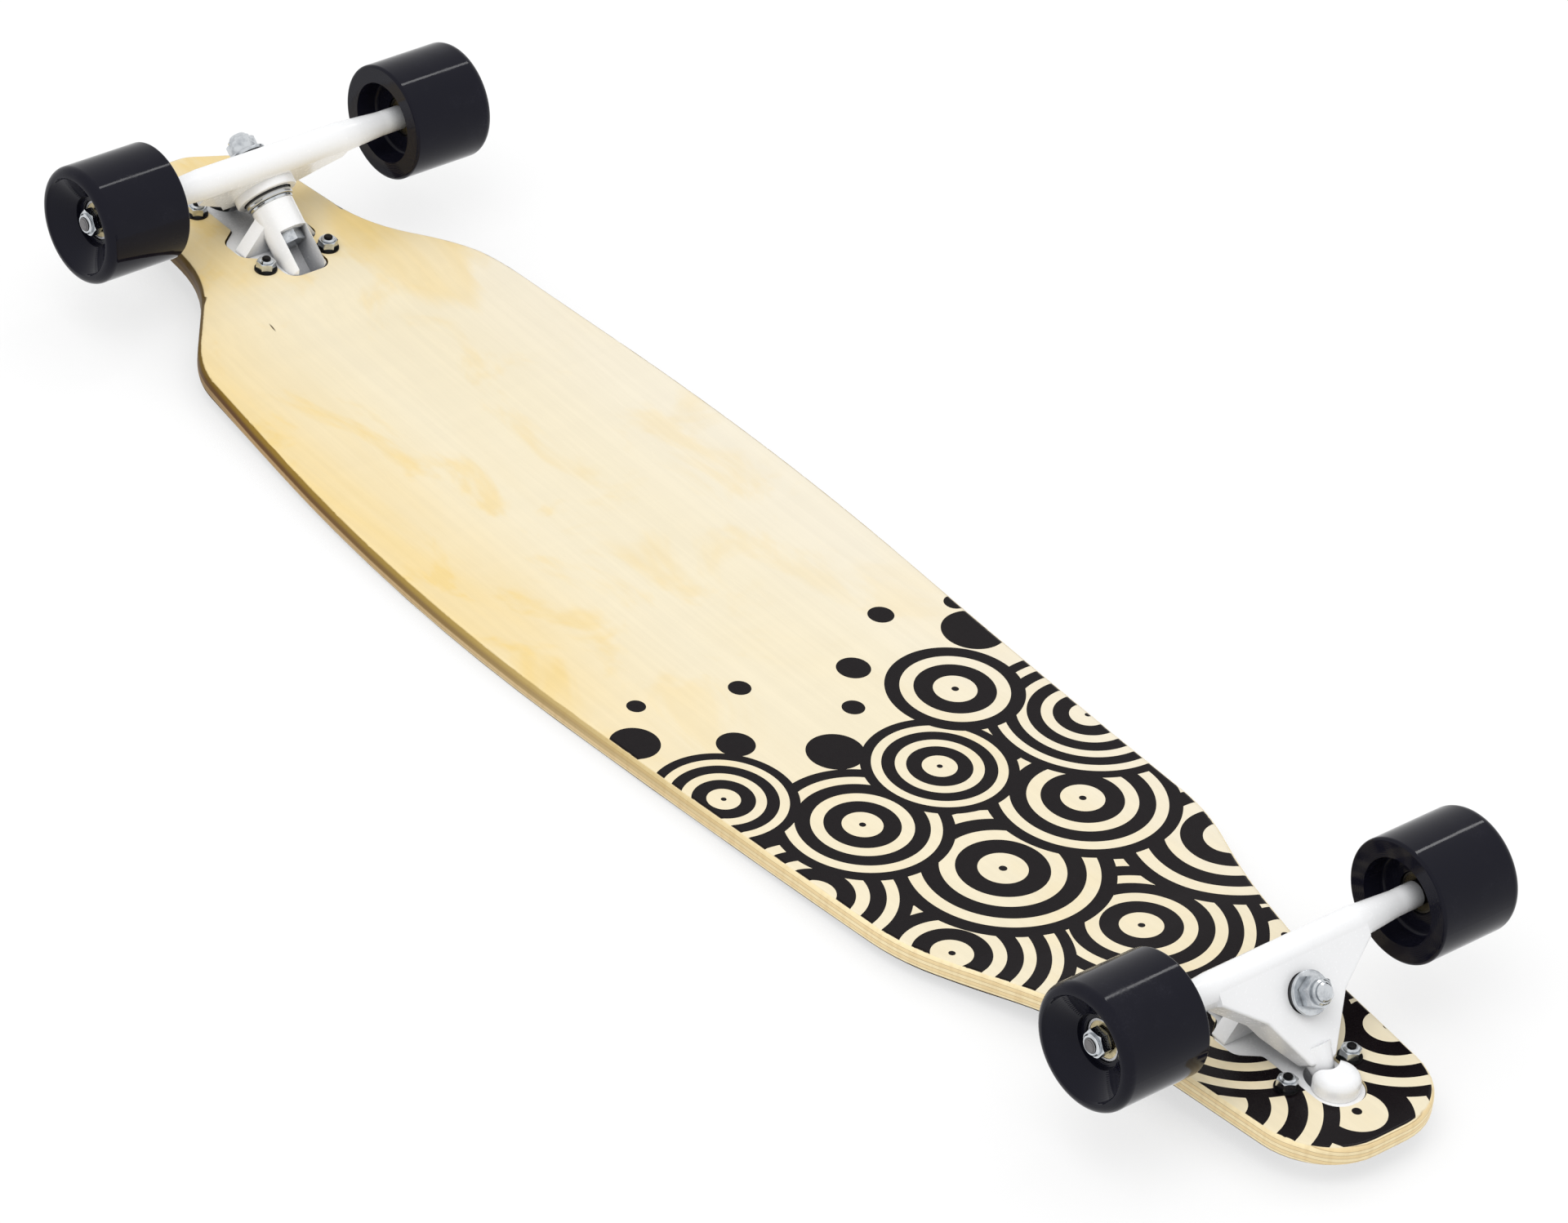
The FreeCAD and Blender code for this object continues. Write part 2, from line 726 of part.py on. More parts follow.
# Grip tape: a thin sheet on the deck with a window round each baseplate.
grip_tape, tape_trim = sheet_along_deck("grip_tape", S.deck_thick, S.deck_thick + S.tape_thick, S.tape_inset)
windows = [on_deck(flange_corners(S.tape_window_gap), sign) for sign in (1, -1)]
open_sheet(grip_tape, "grip_tape_Windows", windows)

nose_parts = []
wheel_parts = []

# Baseplate: a flange on the deck, a plug in the deck's opening, an inclined kingpin boss with a window
# for the kingpin's head, two side ribs and an upright socket for the pivot.
flange = padded("Flange", flange_corners(0), "XY_Plane", deck_top, S.flange_thick)
doc.recompute()
fillet(flange, flange.Tip, rim_edges(flange.Tip.Shape, True), S.flange_edge_round)
at_axle(flange)
plug_low = S.deck_rise + S.plug_setback
plug = at_axle(padded("Plug", slot_corners(S.plug_gap), "XY_Plane", plug_low, deck_top - plug_low))
passage = padded("Passage", slot_corners(S.plug_gap), "XY_Plane", 0 - S.overrun, deck_top + S.overrun)
at_axle(passage)
boss_rod = at_kingpin(ring("Boss_Rod", 0, S.boss_dia / 2, S.boss_top, S.boss_top + S.boss_length))
boss = boolean("Common", "Boss", boss_rod, passage)
window_half = S.window_wide / 2
window_back = S.boss_dia / 2 + S.overrun
window_outline = [(S.window_deep, window_half, None), (0 - window_back, window_half, None),
                  (0 - window_back, 0 - window_half, None), (S.window_deep, 0 - window_half, None)]
window = at_kingpin(padded("Window", window_outline, "XY_Plane", S.window_top, S.boss_length))
cored = boolean("Cut", "Cored_Boss", joined("Boss_And_Plug", [plug, boss]), window)
wing_outline = [(S.wing_foot_half, deck_top, None), (S.wing_foot_half, S.deck_rise, S.wing_round),
                (S.wing_head_half, S.wing_head_z, S.wing_round)]
wing_outline = wing_outline + [(0 - y, z, radius) for y, z, radius in reversed(wing_outline)]
wings = at_axle(padded("Wings", wing_outline, "YZ_Plane", 0 - S.wing_mid - S.wing_thick / 2, S.wing_thick))
socket_low = S.deck_rise - S.socket_drop
socket_section = [(0, socket_low, None), (S.socket_dia / 2, socket_low, S.socket_round),
                  (S.socket_dia / 2, deck_top, None), (0, deck_top, None)]
socket = at_axle(turned("Socket", socket_section), S.socket_mid)
casting = joined("Casting", [flange, cored, wings, socket])
king_bore = ring("King_Bore", 0, S.kingpin_dia / 2 + S.shaft_fit, S.boss_top - S.overrun,
                 S.window_top + S.overrun)
at_kingpin(king_bore)
cup_r = S.pivot_tip_dia / 2 + S.pivot_gap + S.pivot_cup_wall
cup_end = S.pivot_cup_length / 2
mouth_r = cup_r + S.pivot_mouth_gap
mouth_section = [(0, 0 - cup_end - S.overrun, None), (mouth_r, 0 - cup_end - S.overrun, None),
                 (mouth_r, 0 - cup_end, None), (cup_r, 0 - cup_end, None),
                 (cup_r, cup_end, None), (0, cup_end, None)]
mouth = at_pivot(turned("Pivot_Mouth", mouth_section))
hole_r = S.bolt_dia / 2 + S.bolt_hole_gap
sink_r = S.bolt_head_dia / 2 + S.bolt_hole_gap
sink_section = [(0, deck_top - S.overrun, None), (hole_r, deck_top - S.overrun, None),
                (hole_r, flange_top - S.bolt_head_height, None), (sink_r, flange_top, None),
                (sink_r, flange_top + S.overrun, None), (0, flange_top + S.overrun, None)]
sink = at_bolt(turned("Bolt_Sink", sink_section))


def four(name, item):
    """The item at all four bolts of the nose truck."""
    across = mirrored(name + "_Right", item, "y")
    middle = axle_x + S.bolt_mid
    inner = mirrored(name + "_Inner", item, "x", middle)
    inner_across = mirrored(name + "_Inner_Right", across, "x", middle)
    return [item, across, inner, inner_across]


baseplate_tools = joined("Baseplate_Tools", [king_bore, mouth] + four("Bolt_Sink", sink))
nose_parts.append(boolean("Cut", "baseplate", casting, baseplate_tools))

# Pivot cup: a soft lining pressed into the socket.
lining_r = S.pivot_tip_dia / 2 + S.pivot_gap
cup_floor = cup_end - S.pivot_cup_floor
cup_section = [(lining_r, 0 - cup_end, None), (cup_r, 0 - cup_end, None), (cup_r, cup_end, None),
               (0, cup_end, None), (0, cup_floor, None), (lining_r, cup_floor, None)]
nose_parts.append(at_pivot(turned("pivot_cup", cup_section)))

# Kingpin, its nut, the two washers and the two bushings.
king_r = S.kingpin_dia / 2
nut_end = S.kingpin_nut_hex_height + S.kingpin_nut_collar_height
king_end = 0 - nut_end - S.kingpin_end_proud
shank_section = [(0, king_end, None), (king_r - S.kingpin_chamfer, king_end, None),
                 (king_r, king_end + S.kingpin_chamfer, None), (king_r, S.window_top, None),
                 (0, S.window_top, None)]
shank = at_kingpin(turned("Kingpin_Shank", shank_section))
king_head = hexagon("Kingpin_Head", S.kingpin_head_flats, S.window_top, S.kingpin_head_height, at_kingpin)
nose_parts.append(joined("kingpin", [shank, king_head]))
king_bore_r = king_r + S.shaft_fit
nose_parts.append(lock_nut("kingpin_nut", S.kingpin_nut_flats, S.kingpin_nut_hex_height,
                           S.kingpin_nut_collar_dia, S.kingpin_nut_collar_height, king_bore_r, 0,
                           "XZ_Plane", at_kingpin_nut))
deck_washer_low = S.boss_top - S.kingpin_washer_thick


def king_washer(name, dia, low):
    """A washer on the kingpin with rounded outer corners."""
    half = dia / 2
    high = low + S.kingpin_washer_thick
    section = [(king_bore_r, low, None), (half, low, S.washer_round), (half, high, S.washer_round),
               (king_bore_r, high, None)]
    return at_kingpin(turned(name, section))


road_washer = king_washer("Road_Washer", S.road_washer_dia, 0)
deck_washer = king_washer("Deck_Washer", S.deck_washer_dia, deck_washer_low)
nose_parts.append(group("kingpin_washers", [road_washer, deck_washer]))
bush_bore = king_r + S.bushing_bore_gap
road_bushing_section = [(bush_bore, S.kingpin_washer_thick, None),
                        (S.road_bushing_top_dia / 2, S.kingpin_washer_thick, None),
                        (S.road_bushing_foot_dia / 2, web_front, None), (bush_bore, web_front, None)]
nose_parts.append(at_kingpin(turned("roadside_bushing", road_bushing_section)))
barrel_r = S.deck_bushing_dia / 2
barrel_mid = (web_back + deck_washer_low) / 2
deck_bushing_section = [(bush_bore, web_back, None), (barrel_r, web_back, None),
                        (barrel_r - S.deck_bushing_waist, barrel_mid, None),
                        (barrel_r, deck_washer_low, None), (bush_bore, deck_washer_low, None)]
nose_parts.append(at_kingpin(turned("boardside_bushing", deck_bushing_section)))

# Hanger: a triangular plate across the kingpin, a round bar along the axle and a pivot stem.
plate_upper = [(S.hanger_tip_v, S.hanger_tip_half, S.hanger_tip_round),
               (S.hanger_kink_v, S.hanger_kink_half, S.hanger_kink_round),
               (0 - S.hanger_root_v, S.hanger_root_half, None), (axle_v, S.hanger_root_half, None)]
plate = padded("Plate", both_sides(plate_upper), "XY_Plane", S.hanger_face, S.hanger_back - S.hanger_face)
doc.recompute()
plate_face = [number for number in rim_edges(plate.Tip.Shape, False)
              if plate.Tip.Shape.Edges[number - 1].CenterOfMass.x > axle_v.value / 2]
fillet(plate, plate.Tip, plate_face, S.hanger_edge_round)
at_kingpin(plate)
taper_end = S.hanger_tip_v + S.overrun
taper_outline = [(S.hanger_taper_v, S.hanger_back, None), (S.hanger_tip_v, S.hanger_tip_back, None),
                 (taper_end, S.hanger_tip_back, None), (taper_end, S.hanger_back + S.overrun, None),
                 (S.hanger_taper_v, S.hanger_back + S.overrun, None)]
taper_reach = S.hanger_root_half + S.overrun
taper = at_kingpin(padded("Plate_Taper", taper_outline, "XZ_Plane", 0 - taper_reach, taper_reach * 2))
tapered = boolean("Cut", "Tapered_Plate", plate, taper)
bar_root_r = S.bar_root_dia / 2
bar_end_r = S.bar_end_dia / 2
bar_upper = [(bar_root_r, S.bar_root_half, None), (bar_end_r, bar_half - S.bar_end_length, None),
             (bar_end_r, bar_half - S.bar_chamfer, None), (bar_end_r - S.bar_chamfer, bar_half, None),
             (0, bar_half, None)]
bar_section = [(r, 0 - y, radius) for r, y, radius in reversed(bar_upper)] + bar_upper
bar = at_axle(turned("Bar", bar_section, "XY_Plane"))
tip_r = S.pivot_tip_dia / 2
tip_end = cup_floor - S.pivot_gap
stem_section = [(0, 0 - S.pivot_stem_length, None), (S.pivot_root_dia / 2, 0 - S.pivot_stem_length, None),
                (tip_r, 0 - S.pivot_tip_length, None), (tip_r, tip_end, S.pivot_tip_round),
                (0, tip_end, None)]
stem = at_pivot(turned("Stem", stem_section))
shroud = at_kingpin(ring("Shroud", 0, S.shroud_dia / 2, web_front, S.shroud_top, "XZ_Plane", S.washer_round))
hanger_blank = joined("Hanger_Blank", [bar, tapered, stem, shroud])
axle_r = S.axle_dia / 2
axle_hole = at_axle(ring("Axle_Hole", 0, axle_r + S.shaft_fit, 0 - axle_half, axle_half, "XY_Plane"))
king_hole = at_kingpin(ring("King_Hole", 0, king_r + S.kingpin_clear, 0, S.boss_top))
road_seat_r = S.road_bushing_foot_dia / 2 + S.bushing_seat_gap
road_seat = at_kingpin(ring("Road_Seat", 0, road_seat_r, 0 - S.overrun, web_front))
deck_seat_r = barrel_r + S.bushing_seat_gap
deck_seat = at_kingpin(ring("Deck_Seat", 0, deck_seat_r, web_back, S.shroud_top + S.overrun))
hanger_tools = joined("Hanger_Tools", [axle_hole, king_hole, road_seat, deck_seat])
nose_parts.append(boolean("Cut", "hanger", hanger_blank, hanger_tools))

# Axle: one rod through the hanger, bevelled at both ends.
axle_upper = [(axle_r, axle_half - S.axle_chamfer, None), (axle_r - S.axle_chamfer, axle_half, None),
              (0, axle_half, None)]
axle_section = [(r, 0 - y, radius) for r, y, radius in reversed(axle_upper)] + axle_upper
nose_parts.append(at_axle(turned("axle", axle_section, "XY_Plane")))

# Mounting bolts with flush heads, their washers and nuts.
nut_stack = S.bolt_nut_hex_height + S.bolt_nut_collar_height + S.bolt_end_proud
bolt_end = S.deck_rise - S.bolt_washer_thick - nut_stack
bolt_r = S.bolt_dia / 2
bolt_section = [(0, bolt_end, None), (bolt_r - S.bolt_chamfer, bolt_end, None),
                (bolt_r, bolt_end + S.bolt_chamfer, None), (bolt_r, flange_top - S.bolt_head_height, None),
                (S.bolt_head_dia / 2, flange_top, None), (0, flange_top, None)]
bolt_blank = at_bolt(turned("Bolt_Blank", bolt_section))
key = hexagon("Bolt_Key", S.bolt_socket_flats, flange_top - S.bolt_socket_deep, S.overrun, at_bolt)
bolt = boolean("Cut", "Bolt", bolt_blank, key)
nose_parts.append(group("mounting_bolts", four("Bolt", bolt)))
bolt_nut = lock_nut("Bolt_Nut", S.bolt_nut_flats, S.bolt_nut_hex_height, S.bolt_nut_collar_dia,
                    S.bolt_nut_collar_height, bolt_r + S.shaft_fit, 0, "XZ_Plane", at_bolt_nut)
nose_parts.append(group("mounting_nuts", four("Bolt_Nut", bolt_nut)))
bolt_washer = at_bolt(ring("Bolt_Washer", bolt_r + S.bolt_hole_gap, S.bolt_washer_dia / 2,
                           S.deck_rise - S.bolt_washer_thick, S.deck_rise))
nose_parts.append(group("mounting_washers", four("Bolt_Washer", bolt_washer)))

# Wheel of the nose truck on the left, with its bearings, spacer, washers and axle nut.
half_width = S.wheel_width / 2
bearing_r = S.bearing_dia / 2
web_half = S.spacer_length / 2
hub_face = bearing_out + S.hub_lip
rim_in = S.dish_rim_dia / 2
dish_floor = half_width - S.dish_depth
wheel_section = [
    (S.hub_web_bore / 2, 0 - web_half, None),
    (bearing_r, 0 - web_half, None),
    (bearing_r, 0 - hub_face, None),
    (S.recess_dia / 2, 0 - hub_face, S.recess_floor_round),
    (S.recess_dia / 2 + S.recess_draft, 0 - half_width, None),
    (wheel_r, 0 - half_width, S.wheel_inner_round),
    (wheel_r, half_width, S.wheel_outer_round),
    (rim_in, half_width, None),
    (rim_in - S.dish_step_wide, half_width - S.dish_step_deep, None),
    (S.dish_floor_dia / 2, dish_floor, None),
    (S.dish_floor_dia / 2, hub_face, None),
    (bearing_r, hub_face, None),
    (bearing_r, web_half, None),
    (S.hub_web_bore / 2, web_half, None),
]
wheel_parts.append(at_wheel(turned("wheel", wheel_section, "XY_Plane")))


def pair(name, items):
    """The items and their mirror images across the middle of the wheel."""
    images = [mirrored(item.Name + "_Inner", item, "y", wheel_y) for item in items]
    return group(name, items + images)


def bearing_ring(name, inner, outer, low, high, bevel=None):
    return at_wheel(ring(name, inner, outer, low, high, "XY_Plane", bevel))


race = bearing_ring("Outer_Ring", S.outer_ring_bore / 2, bearing_r, web_half, bearing_out, S.ring_chamfer)
wheel_parts.append(pair("bearing_outer_rings", [race]))
core = bearing_ring("Inner_Ring", axle_r + S.shaft_fit, S.inner_ring_dia / 2, web_half, bearing_out)
wheel_parts.append(pair("bearing_inner_rings", [core]))
shield_in = S.inner_ring_dia / 2 + S.shield_gap
shield_out = S.outer_ring_bore / 2
outer_face = bearing_out - S.shield_setback
inner_face = web_half + S.shield_setback
front = bearing_ring("Front_Shield", shield_in, shield_out, outer_face - S.shield_thick, outer_face)
back = bearing_ring("Back_Shield", shield_in, shield_out, inner_face, inner_face + S.shield_thick)
wheel_parts.append(pair("bearing_shields", [front, back]))
spacer_r = S.spacer_dia / 2
wheel_parts.append(bearing_ring("bearing_spacer", axle_r + S.shaft_fit, spacer_r, 0 - web_half, web_half))
thin = bearing_ring("Speed_Washer", axle_r + S.shaft_fit, S.speed_washer_dia / 2, bearing_out, washer_out)
wheel_parts.append(pair("speed_washers", [thin]))
wheel_parts.append(lock_nut("axle_nut", S.axle_nut_flats, S.axle_nut_hex_height, S.axle_nut_collar_dia,
                            S.axle_nut_collar_height, axle_r + S.shaft_fit, washer_out, "XY_Plane", at_wheel))

# Every piece of the nose truck and of its left wheel, then their mirror images.
pieces = [("deck", deck), ("grip_tape", grip_tape)]
for item in nose_parts:
    pieces.append(("nose_" + item.Name, item))
    pieces.append(("tail_" + item.Name, mirrored("tail_" + item.Name, item, "x")))
for item in wheel_parts:
    right = mirrored("nose_right_" + item.Name, item, "y")
    pieces.append(("nose_left_" + item.Name, item))
    pieces.append(("nose_right_" + item.Name, right))
    pieces.append(("tail_left_" + item.Name, mirrored("tail_left_" + item.Name, item, "x")))
    pieces.append(("tail_right_" + item.Name, mirrored("tail_right_" + item.Name, right, "x")))
for label, item in pieces:
    item.Label = label
doc.recompute()

for item in doc.Objects:
    if "Invalid" in item.State or "Error" in item.State:
        raise RuntimeError(f"{item.Name} has state {item.State}")

os.makedirs("parts", exist_ok=True)
for label, item in pieces:
    shape = item.Shape
    if shape.isNull() or not shape.isValid():
        raise RuntimeError(f"{label} has no valid shape")
    shape.exportStep(f"parts/{label}.step")
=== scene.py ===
import json
import math

import bpy
from mathutils import Matrix, Vector


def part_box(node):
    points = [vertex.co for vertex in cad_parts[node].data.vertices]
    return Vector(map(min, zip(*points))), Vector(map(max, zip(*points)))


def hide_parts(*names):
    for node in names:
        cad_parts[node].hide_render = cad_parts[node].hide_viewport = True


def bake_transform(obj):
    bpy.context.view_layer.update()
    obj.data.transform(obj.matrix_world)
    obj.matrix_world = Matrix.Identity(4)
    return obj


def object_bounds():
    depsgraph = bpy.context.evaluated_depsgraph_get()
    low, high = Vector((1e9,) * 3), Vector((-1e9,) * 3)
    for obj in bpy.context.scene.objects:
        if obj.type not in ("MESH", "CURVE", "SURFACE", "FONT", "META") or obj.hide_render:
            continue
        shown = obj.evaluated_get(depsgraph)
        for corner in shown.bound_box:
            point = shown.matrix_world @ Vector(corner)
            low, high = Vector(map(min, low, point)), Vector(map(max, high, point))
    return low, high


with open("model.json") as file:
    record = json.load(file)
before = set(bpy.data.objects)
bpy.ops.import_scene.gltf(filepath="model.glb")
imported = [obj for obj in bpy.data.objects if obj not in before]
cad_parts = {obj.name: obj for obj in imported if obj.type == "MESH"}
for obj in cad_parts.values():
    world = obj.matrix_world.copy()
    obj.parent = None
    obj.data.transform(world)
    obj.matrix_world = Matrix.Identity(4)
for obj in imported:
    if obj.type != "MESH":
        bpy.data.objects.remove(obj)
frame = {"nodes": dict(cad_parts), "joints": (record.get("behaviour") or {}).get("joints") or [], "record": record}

# A longboard skateboard: the finish of each piece, the soft bushings, the studio and the photograph's camera.
cad_low, cad_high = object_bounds()
scene = bpy.context.scene
nodes = frame["nodes"]
MM = 0.001

# Places and sizes that come from the frame.
joint_places = {joint["name"]: joint["pos_m"] for joint in frame["joints"]}
axle_x, wheel_y, axle_z = joint_places["nose_left_spin"]
deck_length = cad_high[0] - cad_low[0]
deck_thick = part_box("grip_tape")[0].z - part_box("deck")[0].z

# The kingpin starts at its nut's seat, further out than the axle and above it, and leans towards the middle.
KINGPIN_OUT = 22.1 * MM
KINGPIN_UP = 7.0 * MM
KINGPIN_ANGLE = math.radians(36.0)
kingpin_x = axle_x + KINGPIN_OUT
kingpin_z = axle_z + KINGPIN_UP
kingpin_inward = math.cos(KINGPIN_ANGLE)
kingpin_upward = math.sin(KINGPIN_ANGLE)

# Places along the kingpin from its nut's seat: the faces that the bushings rest on and, on the board-side
# bushing, the end of the hanger's grip and the edge of its plated cup.
NUT_WASHER_FACE = 2.0 * MM
HANGER_FRONT = 10.0 * MM
HANGER_BACK = 15.0 * MM
HANGER_GRIP = 26.2 * MM
CUP_EDGE = 28.4 * MM
DECK_WASHER_FACE = 31.0 * MM


class Graph:
    """The node tree of a material or a world, with short calls for the nodes used here."""

    def __init__(self, owner, output="ShaderNodeOutputMaterial"):
        self.owner = owner
        owner.use_nodes = True
        self.tree = owner.node_tree
        self.tree.nodes.clear()
        self.output = self.tree.nodes.new(output)

    def show(self, shader):
        """Ends the tree with this shader."""
        self.tree.links.new(shader, self.output.inputs[0])
        return self.owner

    def feed(self, socket, value):
        if isinstance(value, bpy.types.NodeSocket):
            self.tree.links.new(value, socket)
        elif value is not None:
            socket.default_value = value

    def node(self, kind, inputs=None, **settings):
        made = self.tree.nodes.new(kind)
        for key, value in settings.items():
            setattr(made, key, value)
        for key, value in (inputs or {}).items():
            self.feed(made.inputs[key], value)
        return made

    def math(self, operation, a, b=None, c=None):
        made = self.node("ShaderNodeMath", operation=operation)
        for socket, value in zip(made.inputs, (a, b, c)):
            self.feed(socket, value)
        return made.outputs[0]

    def step(self, value, low, high, first=0.0, last=1.0):
        """Smooth change from first to last as value goes from low to high."""
        ends = {"Value": value, "From Min": low, "From Max": high, "To Min": first, "To Max": last}
        return self.node("ShaderNodeMapRange", ends, interpolation_type="SMOOTHSTEP").outputs["Result"]

    def mix(self, factor, a, b, blend="MIX"):
        """Colour a where the factor is 0 and b where it is 1, by the node's colour sockets."""
        made = self.node("ShaderNodeMix", data_type="RGBA", blend_type=blend)
        for index, value in ((0, factor), (6, a), (7, b)):
            self.feed(made.inputs[index], value)
        return made.outputs[2]

    def grey(self, value):
        return self.node("ShaderNodeCombineColor", {0: value, 1: value, 2: value}).outputs[0]

    def vector(self, operation, a, b=None, output=0):
        return self.node("ShaderNodeVectorMath", {0: a, 1: b}, operation=operation).outputs[output]

    def length(self, vector):
        return self.vector("LENGTH", vector, output="Value")

    def position(self, stretch=None):
        place = self.node("ShaderNodeTexCoord").outputs["Object"]
        return place if stretch is None else self.vector("MULTIPLY", place, stretch)

    def axes(self, vector):
        return self.node("ShaderNodeSeparateXYZ", {0: vector}).outputs

    def noise(self, vector, scale, detail=3.0, roughness=0.5, distortion=0.0):
        inputs = {"Vector": vector, "Scale": scale, "Detail": detail, "Roughness": roughness,
                  "Distortion": distortion}
        return self.node("ShaderNodeTexNoise", inputs).outputs["Fac"]

    def waves(self, per_metre, detail=3.0, roughness=0.5, distortion=0.0):
        """Noise with its own number of waves in a metre along each axis."""
        return self.noise(self.position(per_metre), 1.0, detail, roughness, distortion)

    def crevice(self, reach):
        """0 in deep corners and holes, 1 on open surfaces."""
        return self.node("ShaderNodeAmbientOcclusion", {"Distance": reach}, samples=8).outputs["AO"]

    def bump(self, height, strength, distance, normal=None):
        inputs = {"Height": height, "Strength": strength, "Distance": distance, "Normal": normal}
        return self.node("ShaderNodeBump", inputs).outputs[0]

    def principled(self, **inputs):
        """Ends a material with a Principled shader; a socket's name is written with _ for each space."""
        names = {key.replace("_", " "): value for key, value in inputs.items()}
        return self.show(self.node("ShaderNodeBsdfPrincipled", names).outputs[0])


def material_graph(name):
    return Graph(bpy.data.materials.new(name))


def rgba(red, green, blue):
    return (red, green, blue, 1.0)


# Depths of the fine relief, and how far into the open the painted shade of a corner reaches.
GRAIN_DEPTH = 0.6 * MM
GRIT_DEPTH = 0.7 * MM
PEEL_DEPTH = 0.4 * MM
SCRATCH_DEPTH = 0.2 * MM
THREAD_DEPTH = 0.5 * MM
RIPPLE_DEPTH = 0.8 * MM
TURNING_DEPTH = 0.2 * MM
PAINT_CORNER = 26.0 * MM
METAL_CORNER = 5.0 * MM

# Print on the underside, in millimetres: rippled discs (x, y, radius, rings), a later one covering an
# earlier one, then loose dots (x, y, radius).
RIPPLES = (
    (468, 4, 66, 3), (430, -52, 52, 3), (428, 54, 56, 3), (384, 6, 60, 4), (352, -58, 54, 3),
    (350, 70, 56, 3), (306, -6, 62, 4), (276, -92, 58, 3), (270, 84, 60, 4), (232, 18, 56, 3),
    (210, -54, 50, 3), (196, 108, 48, 3), (166, 52, 46, 3), (158, -104, 54, 4), (150, -12, 40, 3),
    (112, 96, 38, 3), (104, -62, 36, 2),
)
DOTS = (
    (112, 24, 15), (80, 62, 10), (70, -104, 17), (62, -30, 9), (52, 104, 13), (88, -8, 6), (44, 30, 6),
    (34, -72, 7), (28, 84, 5), (46, -112, 6),
)
RING_CROWDING = 1.2
BLACK_SHARE = 0.56


def underside_print(graph, place):
    """1 where the print is black."""
    flat = graph.vector("MULTIPLY", place, (1.0, 1.0, 0.0))
    black = 0.0
    for x, y, radius, rings in RIPPLES:
        away = graph.vector("DISTANCE", flat, (x * MM, y * MM, 0.0), "Value")
        share = graph.math("DIVIDE", away, radius * MM)
        turn = graph.math("MULTIPLY_ADD", graph.math("POWER", share, RING_CROWDING), float(rings), 0.5)
        band = graph.math("LESS_THAN", graph.math("FRACT", turn), BLACK_SHARE)
        change = graph.math("SUBTRACT", band, black)
        black = graph.math("MULTIPLY_ADD", graph.math("LESS_THAN", share, 1.0), change, black)
    for x, y, radius in DOTS:
        away = graph.vector("DISTANCE", flat, (x * MM, y * MM, 0.0), "Value")
        black = graph.math("MAXIMUM", black, graph.math("LESS_THAN", away, radius * MM))
    return black


# Where the deck's tones change, from the first place to the second: along the board, with +X to the nose,
# and across it, with +Y to the left.
TAIL_GLOW_ALONG = (-120.0 * MM, -340.0 * MM)
TAIL_END_ALONG = (-345.0 * MM, -390.0 * MM)
LEFT_GLOW_ALONG = (160.0 * MM, -140.0 * MM)
LEFT_GLOW_ACROSS = (20.0 * MM, 118.0 * MM)
RIGHT_PALE_ACROSS = (-20.0 * MM, -110.0 * MM)
BLOTCHES_ALONG = (120.0 * MM, -100.0 * MM)
BLOTCHES_ACROSS = (-60.0 * MM, 60.0 * MM)
EDGE_SHADE_ALONG = (280.0 * MM, -300.0 * MM)
EDGE_LIP_ALONG = (240.0 * MM, -100.0 * MM)
EDGE_DARK_ALONG = (-260.0 * MM, -370.0 * MM)
HEART_PLACE = (-356.0 * MM, -60.0 * MM, 0.0)
HEART_SIZE = (55.6 * MM, 30.3 * MM)
KNOT_PLACE = (-330.0 * MM, 47.7 * MM, 0.0)
KNOT_SIZE = (3.85 * MM, 0.667 * MM)
PLIES = 5.0
UNDERSIDE_STRETCHES = 48
# How far the surface faces up (1) or down (-1): the print is where it is below the first value, and between
# the other two, up or down, a flat face turns into the wall of an edge.
PRINTED_FACING = -0.90
WALL_FACING = (0.95, 0.80)


def underside_points():
    """The deck's lowest corner in each stretch of its length, from tail to nose."""
    lowest = {}
    for corner in nodes["deck"].data.vertices:
        stretch = int((corner.co.x - cad_low[0]) / deck_length * UNDERSIDE_STRETCHES)
        if stretch not in lowest or corner.co.z < lowest[stretch].z:
            lowest[stretch] = corner.co
    return [lowest[stretch] for stretch in sorted(lowest)]


def height_above_underside(graph, x, z):
    """Share of the deck's thickness, 0 at the underside and 1 under the tape."""
    share = graph.math("MULTIPLY_ADD", x, 1.0 / deck_length, -cad_low[0] / deck_length)
    curve = graph.node("ShaderNodeFloatCurve", {"Value": share})
    line = curve.mapping.curves[0]
    places = [((co.x - cad_low[0]) / deck_length, co.z / cad_high[2]) for co in underside_points()]
    line.points[0].location = (0.0, places[0][1])
    line.points[1].location = (1.0, places[-1][1])
    for along, height in places:
        line.points.new(along, height)
    for point in line.points:
        point.handle_type = "VECTOR"
    curve.mapping.update()
    base = graph.math("MULTIPLY", curve.outputs[0], cad_high[2])
    return graph.math("DIVIDE", graph.math("SUBTRACT", z, base), deck_thick)


def spot(graph, place, middle, size):
    """0 in the middle of an oval spot on the deck and 1 on its rim."""
    shares = (1.0 / size[0], 1.0 / size[1], 0.0)
    return graph.length(graph.vector("MULTIPLY", graph.vector("SUBTRACT", place, middle), shares))


